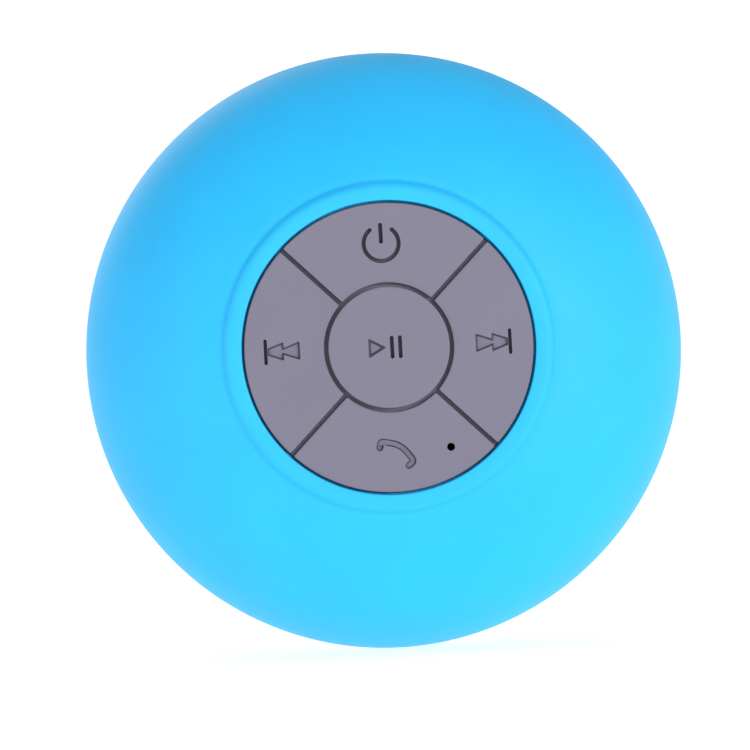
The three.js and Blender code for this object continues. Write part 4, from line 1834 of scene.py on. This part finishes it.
cut_away(basket, smooth_mesh(windows, "windows"))
clad(basket, pressed_steel, "steel", "speaker", "driver_basket")


def ring_part(name, inner, outer, back, front, edge, material, slot, body, node, sides=120):
    """A flat ring between two radii and two depths, with rounded edges."""
    corners = [(inner, back, edge), (outer, back, edge), (outer, front, edge), (inner, front, edge)]
    piece = turned(name, filleted(corners, steps=3), sides)
    return clad(piece, material, slot, body, node)


ferrite = moulded("ferrite", (0.045, 0.045, 0.047), 0.7, grain=0.3, relief=0.03, mottle=0.2)
copper = moulded(
    "enamelled_copper", (0.65, 0.26, 0.08), 0.3, grain=0.1, relief=0.01, mottle=0.08, metallic=1.0
)
for name, sizes, material, slot, node in (
    ("gasket_ring", (23.4, 26.2, 19.5, 20.1, 0.15), black_rubber, "black_rubber", "driver_gasket"),
    ("top_plate", (8.5, 14.5, 29.7, 31.9, 0.25), plated_steel, "steel", "driver_top_plate"),
    ("magnet_ring", (9.5, 15.5, 32.0, 36.6, 0.5), ferrite, "ferrite", "driver_magnet"),
):
    ring_part(name, *sizes, material, slot, "speaker", node)
yoke = turned(
    "yoke",
    filleted(
        [
            (0, 30.0),
            (6.6, 30.0, 0.3),
            (6.6, 36.7, 0.2),
            (15.0, 36.7, 0.3),
            (15.0, 38.2, 0.6),
            (14.0, 39.2, 0.5),
            (1.6, 39.2, 0.3),
            (1.2, 38.4, 0.2),
            (0, 38.4),
        ],
        False,
        steps=4,
    ),
    sides=120,
)
clad(yoke, plated_steel, "steel", "speaker", "driver_yoke")

coil_line = [(7.2, 27.5), (7.5, 27.5)]
turn_depth, wire_width = 29.0, 0.24
while turn_depth < 33.2:
    coil_line += [(7.55, turn_depth), (7.78, turn_depth + wire_width / 2)]
    coil_line += [(7.55, turn_depth + wire_width)]
    turn_depth += wire_width
coil_line += [(7.5, 33.4), (7.2, 33.4)]
coil = turned("voice_coil_wound", coil_line, 96, sharp=60)
clad(coil, copper, "copper", "cone_assembly", "voice_coil")

cone_paper = moulded(
    "cone_paper", (0.028, 0.028, 0.03), 0.8, grain=0.5, relief=0.05, mottle=0.2, sheen=0.1
)
cone_line = filleted(
    [
        (7.9, 27.3, 0.1),
        (12.0, 24.1, 6),
        (18.5, 20.9, 0.1),
        (18.5, 21.3, 0.1),
        (12.2, 24.6, 6),
        (8.1, 27.8, 0.1),
    ],
    steps=8,
)
cone = turned("paper_cone", cone_line, 128)
clad(cone, cone_paper, "cone_paper", "cone_assembly", "cone")
cap_line = []
cap_sphere, cap_centre = 12.3, 36.75
for i in range(13):
    turn = math.radians(38 * i / 12)
    cap_line.append((cap_sphere * math.sin(turn), cap_centre - cap_sphere * math.cos(turn)))
cap_inside = [(max(0.0, radius - 0.15), depth + 0.35) for radius, depth in reversed(cap_line)]
cap = turned("cone_cap", cap_line + cap_inside, 96)
clad(cap, cone_paper, "cone_paper", "cone_assembly", "dust_cap")

roll_middle, roll_inside, roll_outside, flange_back, flange_front = 20.5, 1.6, 2.1, 20.2, 20.7
roll_line = [(24.6, flange_back), (24.6, flange_front)]
for angle in range(0, 181, 15):
    turn = math.radians(angle)
    across, rise = roll_inside * math.cos(turn), roll_inside * math.sin(turn)
    roll_line.append((roll_middle + across, flange_front - rise))
roll_line += [(17.4, flange_front), (17.4, flange_back)]
for angle in range(180, -1, -15):
    turn = math.radians(angle)
    across, rise = roll_outside * math.cos(turn), roll_outside * math.sin(turn)
    roll_line.append((roll_middle + across, flange_back - rise))
surround = turned("rubber_surround", roll_line, 128)
clad(surround, black_rubber, "black_rubber", None, "surround")


def flex(piece):
    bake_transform(piece)


flex(surround)

spider_cloth = woven("spider_cloth", (0.5, 0.3, 0.1), 0.6, 0.85)
waves = [(8.1 + 7.2 * i / 72, 28.22 + 0.17 * math.sin(i / 72 * 12 * math.pi)) for i in range(73)]
spider_line = waves + [(radius, depth + 0.25) for radius, depth in reversed(waves)]
spider = turned("corrugated_spider", spider_line, 96)
clad(spider, spider_cloth, "cloth_tan", None, "spider")
flex(spider)

# ---------------------------------------------------------------- suction cup
# A soft, slightly clear blue cup that grips the wall by its flat lip. A hard disc with the
# threaded stud is moulded into its hub, and a rubber washer sits between it and the back.
blue_cup = moulded(
    "clear_blue_silicone",
    (0.06, 0.5, 0.92),
    0.22,
    grain=0.6,
    relief=0.006,
    mottle=0.03,
    gloss_change=0.05,
    coat=0.15,
    glow_through=0.35,
    glow_depth=3,
)
blue_cup.node_tree.nodes["Principled BSDF"].inputs["Transmission Weight"].default_value = 0.25


def grip_rings(first, last, count):
    """Fine ridges moulded along a straight stretch of the cup's underside."""
    ridges = []
    for k in range(count):
        share = (k + 0.5) / count
        radius = first[0] + (last[0] - first[0]) * share
        depth = first[1] + (last[1] - first[1]) * share
        ridges += [
            (radius - 0.3, depth + 0.04, 0.1),
            (radius, depth - 0.14, 0.1),
            (radius + 0.3, depth - 0.02, 0.1),
        ]
    return ridges


cup_line = filleted(
    [
        (0, 5.1),
        (9, 4.9, 6),
        (15, 4.2, 8),
        *grip_rings((15.5, 4.05), (23.5, 1.45), 6),
        (24.0, 1.2, 1),
        (26.3, 0.0, 0.5),
        (28.5, 0.0, 0.15),
        (28.7, 0.4, 0.2),
        (28.0, 1.0, 0.8),
        (24.0, 2.8, 8),
        (20, 4.4, 8),
        (15, 6.0, 6),
        (12.2, 6.9, 1.5),
        (11.2, 8.0, 0.4),
        (9.3, 8.0, 0.2),
        (9.3, 6.2, 0.15),
        (0, 6.2),
    ],
    False,
    steps=7,
)
cup = turned("cup", cup_line, 180)
clad(cup, blue_cup, "blue_cup", None, "suction_cup")
flex(cup)

stud_shape = bmesh.new()
disc_line = filleted(
    [
        (0, 6.4),
        (9.0, 6.4, 0.2),
        (9.0, 8.0, 0.3),
        (3.2, 8.0, 0.4),
        (2.0, 8.3),
        (0, 8.3),
    ],
    False,
    steps=3,
)
turn_into(stud_shape, disc_line, 96)
core_line = filleted(
    [(0, 8.1), (1.95, 8.1), (1.95, 14.7), (1.5, 15.3, 0.1), (0, 15.3)],
    False,
    steps=2,
)
turn_into(stud_shape, core_line, 48)
thread_shape = bmesh.new()
threaded(thread_shape, 1.92, 2.35, 8.2, 14.9)
thread_data = bpy.data.meshes.new("thread")
thread_shape.to_mesh(thread_data)
thread_shape.free()
stud_shape.from_mesh(thread_data)
stud = smooth_mesh(stud_shape, "threaded_stud", 40)
clad(stud, dark_plastic, "dark_plastic", "stud", "cup_stud")
washer_sizes = (2.8, 6.6, 8.1, 9.1, 0.2)
ring_part("rubber_washer", *washer_sizes, black_rubber, "black_rubber", "washer", "cup_washer")
